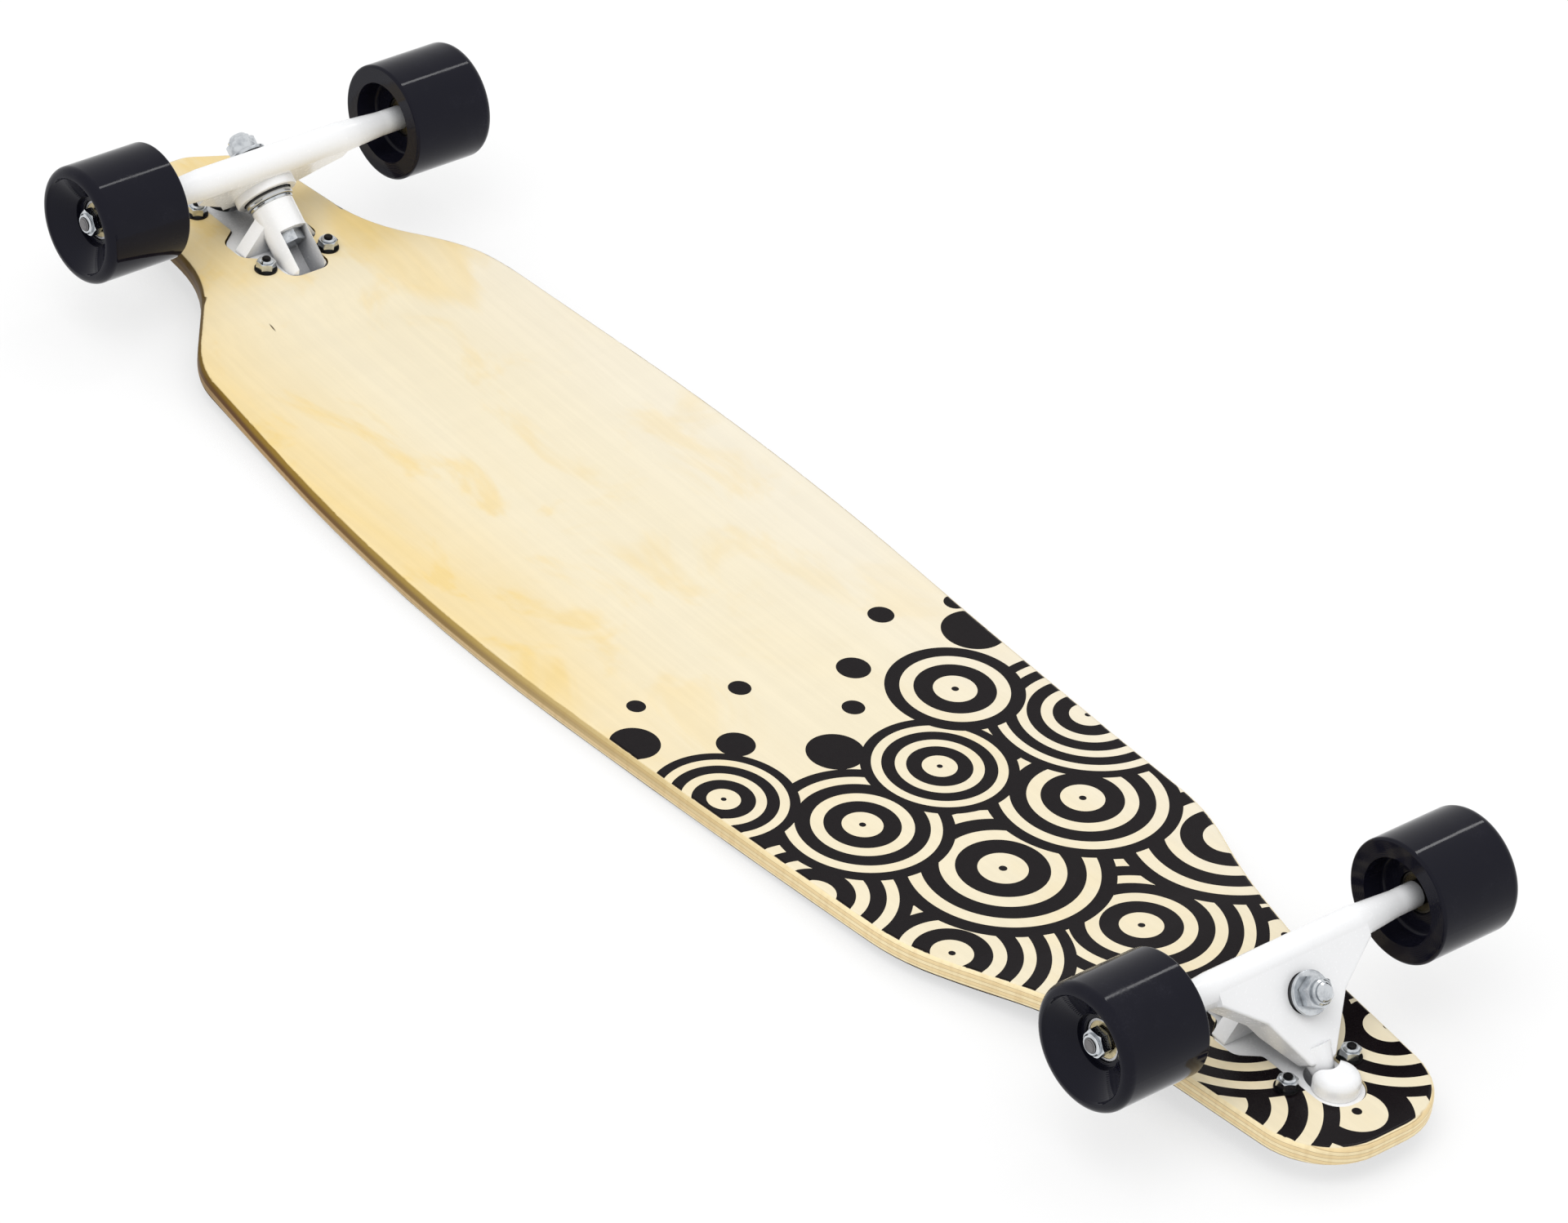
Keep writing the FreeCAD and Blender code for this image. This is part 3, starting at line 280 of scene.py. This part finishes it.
def honey_share(graph, place, x, y, figure):
    """Share of the honey tone in the veneer: by the tail truck, on the left, in blotches and in clouds."""
    heart = graph.math("ADD", spot(graph, place, HEART_PLACE, HEART_SIZE), figure)
    honey = graph.step(heart, 1.60, 1.25, 0.0, 0.55)
    honey = graph.math("ADD", honey, graph.step(x, *TAIL_GLOW_ALONG, 0.0, 0.06))
    honey = graph.math("ADD", honey, graph.step(x, *TAIL_END_ALONG, 0.0, 0.55))
    left = graph.step(x, *LEFT_GLOW_ALONG, 0.0, 0.78)
    honey = graph.math("MULTIPLY_ADD", graph.step(y, *LEFT_GLOW_ACROSS), left, honey)
    honey = graph.math("MULTIPLY", honey, graph.step(figure, 0.25, 0.70, 0.70, 1.10))
    blotch = graph.waves((13.0, 19.0, 19.0), 4.0, 0.6, 0.5)
    toward_tail = graph.step(x, *BLOTCHES_ALONG, 0.12, 0.45)
    blotchy = graph.math("MULTIPLY", toward_tail, graph.step(y, *BLOTCHES_ACROSS, 0.7, 1.3))
    honey = graph.math("MULTIPLY_ADD", graph.step(blotch, 0.49, 0.66), blotchy, honey)
    cloud = graph.waves((4.0, 9.0, 9.0), 3.0, 0.55, 0.8)
    honey = graph.math("MULTIPLY_ADD", graph.step(cloud, 0.44, 0.74), 0.15, honey)
    return graph.math("MINIMUM", honey, 1.0)


def veneer_colour(graph, place, x, y, figure, fibres, curl):
    """Pale veneer, less yellow on the right, with honey patches, fine grain and one small knot."""
    pale = rgba(0.865, 0.778, 0.580)
    less_yellow = rgba(0.868, 0.800, 0.650)
    honey = rgba(0.86, 0.660, 0.300)
    knot_brown = rgba(0.06, 0.035, 0.012)
    veneer = graph.mix(graph.step(y, *RIGHT_PALE_ACROSS), pale, less_yellow)
    veneer = graph.mix(honey_share(graph, place, x, y, figure), veneer, honey)
    along_grain = graph.step(fibres, 0.34, 0.70, 0.975, 1.01)
    grain = graph.math("MULTIPLY", along_grain, graph.step(curl, 0.3, 0.7, 0.988, 1.004))
    veneer = graph.mix(1.0, veneer, graph.grey(grain), "MULTIPLY")
    knot = graph.step(spot(graph, place, KNOT_PLACE, KNOT_SIZE), 1.0, 0.30, 0.0, 0.95)
    return graph.mix(knot, veneer, knot_brown)


def edge_colour(graph, x, depth):
    """Plywood edge: plies with glue lines, a lacquered lip below, and painted shade darkening it towards the tail.
    """
    ply = graph.math("FRACT", graph.math("MULTIPLY", depth, PLIES))
    pair = graph.math("FRACT", graph.math("MULTIPLY", depth, PLIES / 2.0))
    edge = graph.mix(graph.math("GREATER_THAN", pair, 0.5), rgba(0.98, 0.83, 0.52), rgba(0.91, 0.72, 0.41))
    end_grain = graph.waves((320.0, 320.0, 60.0))
    edge = graph.mix(graph.step(end_grain, 0.40, 0.75, 0.0, 0.25), edge, rgba(0.62, 0.43, 0.20))
    glue = graph.math("MAXIMUM", graph.step(ply, 0.12, 0.03), graph.step(ply, 0.88, 0.97))
    edge = graph.mix(graph.math("MULTIPLY", glue, 0.50), edge, rgba(0.32, 0.19, 0.08))
    under_tape = graph.step(depth, 0.90, 0.96, 0.0, 0.8)
    edge = graph.mix(under_tape, edge, rgba(0.10, 0.04, 0.02))
    # Painted shade: the edge and its lip turn darker towards the tail.
    tail_shade = graph.step(x, *EDGE_SHADE_ALONG)
    edge = graph.mix(graph.math("MULTIPLY", tail_shade, 0.85), edge, rgba(0.41, 0.305, 0.22), "MULTIPLY")
    gold = graph.mix(tail_shade, rgba(0.68, 0.51, 0.19), rgba(0.265, 0.162, 0.028))
    brown = graph.mix(tail_shade, rgba(0.62, 0.45, 0.18), rgba(0.110, 0.044, 0.008))
    lip = graph.math("MULTIPLY", graph.step(depth, 0.66, 0.54), graph.step(x, *EDGE_LIP_ALONG))
    edge = graph.mix(lip, edge, graph.mix(graph.step(depth, 0.10, 0.40), gold, brown))
    # Painted shade: near black at the tail end.
    return graph.mix(graph.step(x, *EDGE_DARK_ALONG, 0.0, 0.82), edge, rgba(0.075, 0.046, 0.015))


def deck_material():
    """Lacquered pale veneer underneath with the print, plywood layers on the edges."""
    graph = material_graph("deck_wood")
    place = graph.position()
    x, y, z = graph.axes(place)
    fibres = graph.waves((5.0, 260.0, 260.0), 4.0, 0.6)
    figure = graph.waves((2.6, 15.0, 15.0), 5.0, 0.55, 1.8)
    curl = graph.waves((60.0, 7.0, 7.0), 2.0, 0.5, 0.6)
    facing = graph.axes(graph.node("ShaderNodeNewGeometry").outputs["Normal"])[2]
    veneer = veneer_colour(graph, place, x, y, figure, fibres, curl)
    printed = graph.math("LESS_THAN", facing, PRINTED_FACING)
    black = graph.math("MULTIPLY", underside_print(graph, place), printed)
    speck = graph.noise(place, 480.0, 2.0)
    ink = graph.mix(speck, rgba(0.0045, 0.0028, 0.0036), rgba(0.0085, 0.0060, 0.0070))
    under = graph.mix(black, veneer, ink)
    wobble = graph.math("SUBTRACT", graph.waves((9.0, 9.0, 0.0), 2.0), 0.5)
    depth = graph.math("MULTIPLY_ADD", wobble, 0.05, height_above_underside(graph, x, z))
    wall = graph.step(graph.math("ABSOLUTE", facing), *WALL_FACING)
    colour = graph.mix(wall, under, edge_colour(graph, x, depth))
    rough = graph.math("MULTIPLY_ADD", wall, 0.20, graph.step(figure, 0.2, 0.8, 0.22, 0.30))
    bump = graph.bump(graph.math("MULTIPLY_ADD", curl, 0.2, fibres), 0.04, GRAIN_DEPTH)
    return graph.principled(Base_Color=colour, Roughness=rough, Normal=bump, Specular_IOR_Level=0.08)


def grit_material():
    """Coarse black abrasive sheet with a little grey dust."""
    graph = material_graph("grip_grit")
    grains = graph.node("ShaderNodeTexVoronoi", {"Vector": graph.position(), "Scale": 1300.0}, feature="F1")
    dust = graph.waves((6.0, 14.0, 14.0), 5.0, 0.6)
    tone = graph.math("MULTIPLY_ADD", graph.step(grains.outputs["Color"], 0.72, 1.0), 0.060, 0.012)
    tone = graph.math("MULTIPLY_ADD", graph.step(dust, 0.42, 0.75), 0.016, tone)
    bump = graph.bump(grains.outputs["Distance"], 0.8, GRIT_DEPTH)
    rough = graph.step(dust, 0.3, 0.7, 0.74, 0.92)
    colour = graph.grey(tone)
    return graph.principled(Base_Color=colour, Roughness=rough, Normal=bump, Specular_IOR_Level=0.25)


def paint_material():
    """White powder coat with a faint orange peel over a cast surface, with painted shade greying its corners."""
    white = rgba(0.94, 0.945, 0.955)
    dusty = rgba(0.85, 0.855, 0.86)
    painted_shade_grey = rgba(0.24, 0.245, 0.26)
    graph = material_graph("truck_white")
    peel = graph.noise(graph.position(), 620.0, 2.0)
    cast = graph.noise(graph.position(), 60.0, 3.0)
    dust = graph.noise(graph.position(), 30.0, 5.0, 0.62)
    colour = graph.mix(graph.step(dust, 0.52, 0.80, 0.0, 0.35), white, dusty)
    # Painted shade: the paint turns grey in corners and holes, by how hidden they are.
    open_side = graph.step(graph.crevice(PAINT_CORNER), 0.06, 0.50)
    colour = graph.mix(open_side, painted_shade_grey, colour)
    bump = graph.bump(graph.math("MULTIPLY_ADD", cast, 3.0, peel), 0.10, PEEL_DEPTH)
    rough = graph.step(peel, 0.3, 0.7, 0.18, 0.28)
    return graph.principled(Base_Color=colour, Roughness=rough, Normal=bump, Coat_Weight=0.25,
                            Coat_Roughness=0.08)


# Screw threads as the number of their axis, their pitch, and the places between which they run.
AXLE_THREADS = (1, 1.1 * MM, 115.5 * MM, 140.0 * MM)
BOLT_THREADS = (2, 0.9 * MM, 60.0 * MM, 79.0 * MM)
# Painted shade on the wheels' inner side, from where it is full to where it is gone, outwards from the wheel's
# middle.
STEEL_INNER_SHADE = (-7.2 * MM, -1.2 * MM)
SHIELD_INNER_SHADE = (-3.2 * MM, 4.8 * MM)


def thread(graph, along, pitch, first, last):
    """Screw ridges along an axis between two places, 0 in the grooves and 1 on the crests."""
    ridge = graph.math("DIVIDE", graph.math("PINGPONG", along, pitch / 2.0), pitch / 2.0)
    past_first = graph.math("GREATER_THAN", along, first)
    before_last = graph.math("LESS_THAN", along, last)
    return graph.math("MULTIPLY", ridge, graph.math("MULTIPLY", past_first, before_last))


def metal_material(name, colour, dark, rough, marks, threads=None, inner_shade=None):
    """Bare or plated metal with fine tool marks, patchy roughness and painted shade in corners, with threads and
    painted inner shade where given.
    """
    graph = material_graph(name)
    scratches = graph.waves(marks, 3.0, 0.6)
    patchy = graph.noise(graph.position(), 210.0, 4.0, 0.6)
    tint = graph.mix(graph.step(patchy, 0.40, 0.72, 0.0, 0.7), colour, dark)
    # Painted shade: corners and holes in the metal turn near black.
    painted_corner_shade = graph.step(graph.crevice(METAL_CORNER), 0.20, 0.75, 0.75, 0.0)
    tint = graph.mix(painted_corner_shade, tint, rgba(0.025, 0.025, 0.028))
    roughness = graph.step(graph.math("ADD", scratches, patchy), 0.7, 1.3, *rough)
    bump = graph.bump(scratches, 0.10, SCRATCH_DEPTH)
    if threads is not None:
        axis, pitch, first, last = threads
        along = graph.math("ABSOLUTE", graph.axes(graph.position())[axis])
        bump = graph.bump(thread(graph, along, pitch, first, last), 0.9, THREAD_DEPTH, bump)
        tint = graph.mix(graph.math("GREATER_THAN", along, first), tint, rgba(0.36, 0.35, 0.35), "MULTIPLY")
    if inner_shade is not None:
        # Painted shade: steel and bearing shields on the inner side of each wheel turn near black.
        from_middle = graph.math("ABSOLUTE", graph.axes(graph.position())[1])
        outward = graph.math("SUBTRACT", from_middle, wheel_y)
        tint = graph.mix(graph.step(outward, *inner_shade, 0.90, 0.0), tint, rgba(0.020, 0.020, 0.022))
    return graph.principled(Base_Color=tint, Roughness=roughness, Normal=bump, Metallic=1.0)


# The turning marks on a wheel's faces: the width of a ridge and of a groove, and where they end.
TURNING_STEP = 0.45 * MM
TURNED_RADIUS = 31.2 * MM


def from_nearer_truck(graph, x, z):
    """Vector from a place in the middle plane of the nearer truck, taken as on the nose one."""
    mirrored = graph.vector("ABSOLUTE", graph.position())
    return graph.vector("SUBTRACT", mirrored, (x, 0.0, z))


def turning_marks(graph):
    """Fine rings round the axle on the faces of a wheel."""
    from_axle = graph.vector("MULTIPLY", from_nearer_truck(graph, axle_x, axle_z), (1.0, 0.0, 1.0))
    radius = graph.length(from_axle)
    ring = graph.math("DIVIDE", graph.math("PINGPONG", radius, TURNING_STEP), TURNING_STEP)
    return graph.math("MULTIPLY", ring, graph.math("LESS_THAN", radius, TURNED_RADIUS))


def plated_cup(graph):
    """1 on the end of a bushing that sits in a plated cup."""
    direction = (-kingpin_inward, 0.0, kingpin_upward)
    from_seat = from_nearer_truck(graph, kingpin_x, kingpin_z)
    along = graph.vector("DOT_PRODUCT", from_seat, direction, "Value")
    return graph.math("GREATER_THAN", along, CUP_EDGE)


def urethane_material(name, colour, dusty, rough, shine, turned=False, cupped=False):
    """Cast urethane with faint ripples and a little dust; wheels are turned, and bushings sit in a cup."""
    graph = material_graph(name)
    ripple = graph.noise(graph.position(), 70.0, 2.0)
    speck = graph.noise(graph.position(), 900.0, 2.0)
    dust = graph.noise(graph.position(), 38.0, 5.0, 0.65)
    share = graph.math("MULTIPLY", graph.step(dust, 0.50, 0.80), graph.step(speck, 0.45, 0.70, 0.25, 1.0))
    tint = graph.mix(graph.math("MULTIPLY", share, 0.55), colour, dusty)
    roughness = graph.math("MULTIPLY_ADD", share, 0.22, graph.step(ripple, 0.3, 0.7, *rough))
    bump = graph.bump(graph.math("MULTIPLY_ADD", speck, 0.15, ripple), 0.06, RIPPLE_DEPTH)
    metal = 0.0
    if turned:
        bump = graph.bump(turning_marks(graph), 0.16, TURNING_DEPTH, bump)
    if cupped:
        metal = plated_cup(graph)
        tint = graph.mix(metal, tint, rgba(0.55, 0.56, 0.57))
    return graph.principled(Base_Color=tint, Roughness=roughness, Normal=bump, Metallic=metal,
                            Specular_IOR_Level=shine)


materials = {
    "deck_wood": deck_material(),
    "grip_grit": grit_material(),
    "truck_white": paint_material(),
    "pivot_plastic": urethane_material(
        "pivot_plastic", colour=rgba(0.03, 0.03, 0.03), dusty=rgba(0.09, 0.09, 0.085),
        rough=(0.45, 0.60), shine=0.3),
    "bushing_urethane": urethane_material(
        "bushing_urethane", colour=rgba(0.03, 0.03, 0.033), dusty=rgba(0.10, 0.10, 0.10),
        rough=(0.12, 0.20), shine=0.6, cupped=True),
    "zinc_hardware": metal_material(
        "zinc_hardware", colour=rgba(0.62, 0.645, 0.67), dark=rgba(0.31, 0.33, 0.36),
        rough=(0.10, 0.26), marks=(260.0, 260.0, 260.0)),
    "black_hardware": metal_material(
        "black_hardware", colour=rgba(0.030, 0.030, 0.032), dark=rgba(0.070, 0.068, 0.066),
        rough=(0.26, 0.44), marks=(300.0, 300.0, 300.0), threads=BOLT_THREADS),
    "steel": metal_material(
        "steel", colour=rgba(0.50, 0.50, 0.51), dark=rgba(0.30, 0.30, 0.32),
        rough=(0.16, 0.32), marks=(80.0, 900.0, 80.0), threads=AXLE_THREADS, inner_shade=STEEL_INNER_SHADE),
    "bearing_shield": metal_material(
        "bearing_shield", colour=rgba(0.62, 0.53, 0.32), dark=rgba(0.44, 0.37, 0.22),
        rough=(0.20, 0.36), marks=(300.0, 300.0, 300.0), inner_shade=SHIELD_INNER_SHADE),
    "wheel_urethane": urethane_material(
        "wheel_urethane", colour=rgba(0.007, 0.007, 0.013), dusty=rgba(0.024, 0.024, 0.034),
        rough=(0.05, 0.09), shine=0.12, turned=True),
}

slot_of = {item["node"]: item["material_slot"] for item in frame["record"]["subparts"]}
for name, item in nodes.items():
    item.data.materials.clear()
    item.data.materials.append(materials[slot_of[name]])


def turned_piece(name, origin, axis, section, steps=72):
    """A ring-shaped solid: the closed section (place along the axis, radius) turned about the axis."""
    side = Vector((0.0, 1.0, 0.0))
    other = axis.cross(side)
    points = []
    faces = []
    count = len(section)
    for turn in range(steps):
        angle = 2.0 * math.pi * turn / steps
        spoke = side * math.cos(angle) + other * math.sin(angle)
        points += [origin + axis * along + spoke * radius for along, radius in section]
        here = turn * count
        there = (turn + 1) % steps * count
        for i in range(count):
            j = (i + 1) % count
            faces.append((here + i, here + j, there + j, there + i))
    mesh = bpy.data.meshes.new(name)
    mesh.from_pydata(points, [], faces)
    mesh.update()
    mesh.polygons.foreach_set("use_smooth", [True] * len(mesh.polygons))
    item = bpy.data.objects.new(name, mesh)
    scene.collection.objects.link(item)
    return item


BUSHING_BORE = 4.9 * MM
RIM_STEPS = 6
SIDE_STEPS = 14
BORE_STEPS = 12


def bushing_section(low, high, low_radius, high_radius, swell, lip):
    """Side of a bushing with rounded rims and a swollen (or waisted) middle, then back along its bore."""
    section = []
    quarter = [math.pi / 2.0 * i / RIM_STEPS for i in range(RIM_STEPS + 1)]
    for angle in quarter:
        section.append((low + lip * (1.0 - math.cos(angle)), low_radius - lip * (1.0 - math.sin(angle))))
    for i in range(1, SIDE_STEPS):
        share = i / SIDE_STEPS
        radius = low_radius + (high_radius - low_radius) * share + swell * math.sin(math.pi * share)
        section.append((low + lip + (high - low - 2.0 * lip) * share, radius))
    for angle in quarter:
        section.append((high - lip * (1.0 - math.sin(angle)), high_radius - lip * (1.0 - math.cos(angle))))
    for i in range(BORE_STEPS + 1):
        section.append((high + (low - high) * i / BORE_STEPS, BUSHING_BORE))
    return section


road_section = bushing_section(NUT_WASHER_FACE, HANGER_FRONT, low_radius=9.25 * MM, high_radius=9.75 * MM,
                               swell=0.2 * MM, lip=0.9 * MM)
board_section = bushing_section(HANGER_BACK, DECK_WASHER_FACE, low_radius=13.5 * MM, high_radius=13.5 * MM,
                                swell=-0.7 * MM, lip=1.0 * MM)

# At each truck, a bushing is turned about the kingpin from its section and takes the place of the model's one,
# which is hidden.
for end, sign in (("nose", 1.0), ("tail", -1.0)):
    seat = Vector((kingpin_x * sign, 0.0, kingpin_z))
    pin = Vector((-kingpin_inward * sign, 0.0, kingpin_upward))
    for kind, section, held, moved in (("roadside", road_section, NUT_WASHER_FACE, HANGER_FRONT),
                                       ("boardside", board_section, DECK_WASHER_FACE, HANGER_GRIP)):
        cushion = turned_piece(f"{end}_{kind}_bushing_cushion", seat, pin, section)
        cushion.data.materials.append(materials["bushing_urethane"])
        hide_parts(f"{end}_{kind}_bushing")
        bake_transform(cushion)


# The floor is a little over white where nothing shades it, and past the fade only the white world is seen.
FLOOR_WHITE = 1.015
FLOOR_FADE = (0.6, 1.3)
FLOOR_HALF = 6.0


def floor_material(name, lit, reach, shade):
    """Floor seen from its front only: it dims the white world behind it by up to shade close to the board,
    and lamps light its share lit."""
    graph = material_graph(name)
    behind = graph.node("ShaderNodeNewGeometry").outputs["Backfacing"]
    away = graph.length(graph.position())
    # Painted shadow: the floor dims close to the board by how hidden it is there.
    level = graph.math("MULTIPLY_ADD", graph.crevice(reach), shade, FLOOR_WHITE - shade - lit)
    matte = graph.node("ShaderNodeBsdfDiffuse", {"Color": rgba(lit, lit, lit)}).outputs[0]
    pale = graph.node("ShaderNodeBsdfTransparent", {"Color": graph.grey(level)}).outputs[0]
    near = graph.node("ShaderNodeAddShader", {0: matte, 1: pale}).outputs[0]
    clear = graph.node("ShaderNodeBsdfTransparent").outputs[0]
    far = graph.step(away, *FLOOR_FADE)
    front = graph.node("ShaderNodeMixShader", {0: far, 1: near, 2: clear}).outputs[0]
    return graph.show(graph.node("ShaderNodeMixShader", {0: behind, 1: front, 2: clear}).outputs[0])


def floor(name, height, upward, lit, reach, shade):
    """A floor that the camera sees; light and reflections pass it and meet the white world beyond."""
    low, high = -FLOOR_HALF, FLOOR_HALF
    corners = [(low, low, 0.0), (high, low, 0.0), (high, high, 0.0), (low, high, 0.0)]
    mesh = bpy.data.meshes.new(name)
    mesh.from_pydata(corners, [], [(0, 1, 2, 3) if upward else (3, 2, 1, 0)])
    mesh.materials.append(floor_material(name, lit, reach, shade))
    item = bpy.data.objects.new(name, mesh)
    item.location = (0.0, 0.0, height)
    item.visible_shadow = False
    item.visible_diffuse = False
    item.visible_glossy = False
    item.visible_transmission = False
    scene.collection.objects.link(item)


# The board stands on the ground floor; in the photograph's view it lies on its riding side, on the other one.
floor("floor_ground", height=cad_low[2], upward=True, lit=0.0, reach=0.17, shade=0.34)
floor("floor_studio", height=cad_high[2], upward=False, lit=0.20, reach=0.13, shade=0.20)

WORLD_LIGHT = 0.70


def white_world():
    """Plain white to the camera and in reflections, and a dimmer white as light on the board."""
    world = bpy.data.worlds.new("studio")
    graph = Graph(world, "ShaderNodeOutputWorld")
    rays = graph.node("ShaderNodeLightPath").outputs
    plain = graph.math("MAXIMUM", rays["Is Camera Ray"], rays["Is Glossy Ray"])
    plain = graph.math("MAXIMUM", plain, rays["Is Transmission Ray"])
    level = graph.node("ShaderNodeMapRange", {"Value": plain, "To Min": WORLD_LIGHT, "To Max": 1.0})
    white = {"Color": rgba(1.0, 1.0, 1.0), "Strength": level.outputs["Result"]}
    scene.world = graph.show(graph.node("ShaderNodeBackground", white).outputs[0])


def lamp(name, place, power, size, mirrored):
    """Area lamp facing the board; only a mirrored one is seen in glossy surfaces."""
    data = bpy.data.lights.new(name, "AREA")
    data.shape = "RECTANGLE"
    data.size, data.size_y = size
    data.energy = power
    item = bpy.data.objects.new(name, data)
    item.location = place
    item.rotation_mode = "QUATERNION"
    item.rotation_quaternion = (-Vector(place)).to_track_quat("-Z", "Y")
    item.visible_camera = False
    item.visible_glossy = mirrored
    scene.collection.objects.link(item)


KEY_PLACE = (0.8, 2.1, -4.0)
KEY_SIZE = (3.0, 3.0)

white_world()
lamp("key_under", KEY_PLACE, power=88.0, size=KEY_SIZE, mirrored=False)
lamp("sparkle_under", KEY_PLACE, power=20.0, size=KEY_SIZE, mirrored=True)
lamp("strip_under", (-0.95, -2.5, -3.6), power=13.0, size=(0.25, 1.7), mirrored=True)
lamp("key_over", (1.7, -1.8, 2.5), power=36.0, size=(1.8, 1.8), mirrored=False)
lamp("fill_over", (-1.8, 1.5, 2.4), power=16.0, size=(2.4, 2.4), mirrored=False)

# The camera's place and the middle of its view; its lens and sensor are in millimetres.
CAMERA_PLACE = Vector((2.0715, 1.9426, -1.9608))
CAMERA_TARGET = Vector((0.0166, -0.0203, 0.0800))
CAMERA_ROLL = math.radians(6.98)
CAMERA_LENS = 158.12
SENSOR_WIDTH = 36.0
CLIP_NEAR = 0.05
CLIP_FAR = 60.0


def photo_camera():
    """The photograph looks at the underside, so the camera is below the board and its up is near -Z."""
    lens = bpy.data.cameras.new("camera")
    lens.sensor_fit = "HORIZONTAL"
    lens.sensor_width = SENSOR_WIDTH
    lens.lens = CAMERA_LENS
    lens.clip_start = CLIP_NEAR
    lens.clip_end = CLIP_FAR
    camera = bpy.data.objects.new("camera", lens)
    back = (CAMERA_PLACE - CAMERA_TARGET).normalized()
    right = Vector((0.0, 0.0, -1.0)).cross(back).normalized()
    facing = Matrix((right, back.cross(right), back)).transposed().to_4x4()
    roll = Matrix.Rotation(CAMERA_ROLL, 4, "Z")
    camera.matrix_world = Matrix.Translation(CAMERA_PLACE) @ facing @ roll
    scene.collection.objects.link(camera)
    scene.camera = camera


photo_camera()
scene.view_settings.view_transform = "Standard"
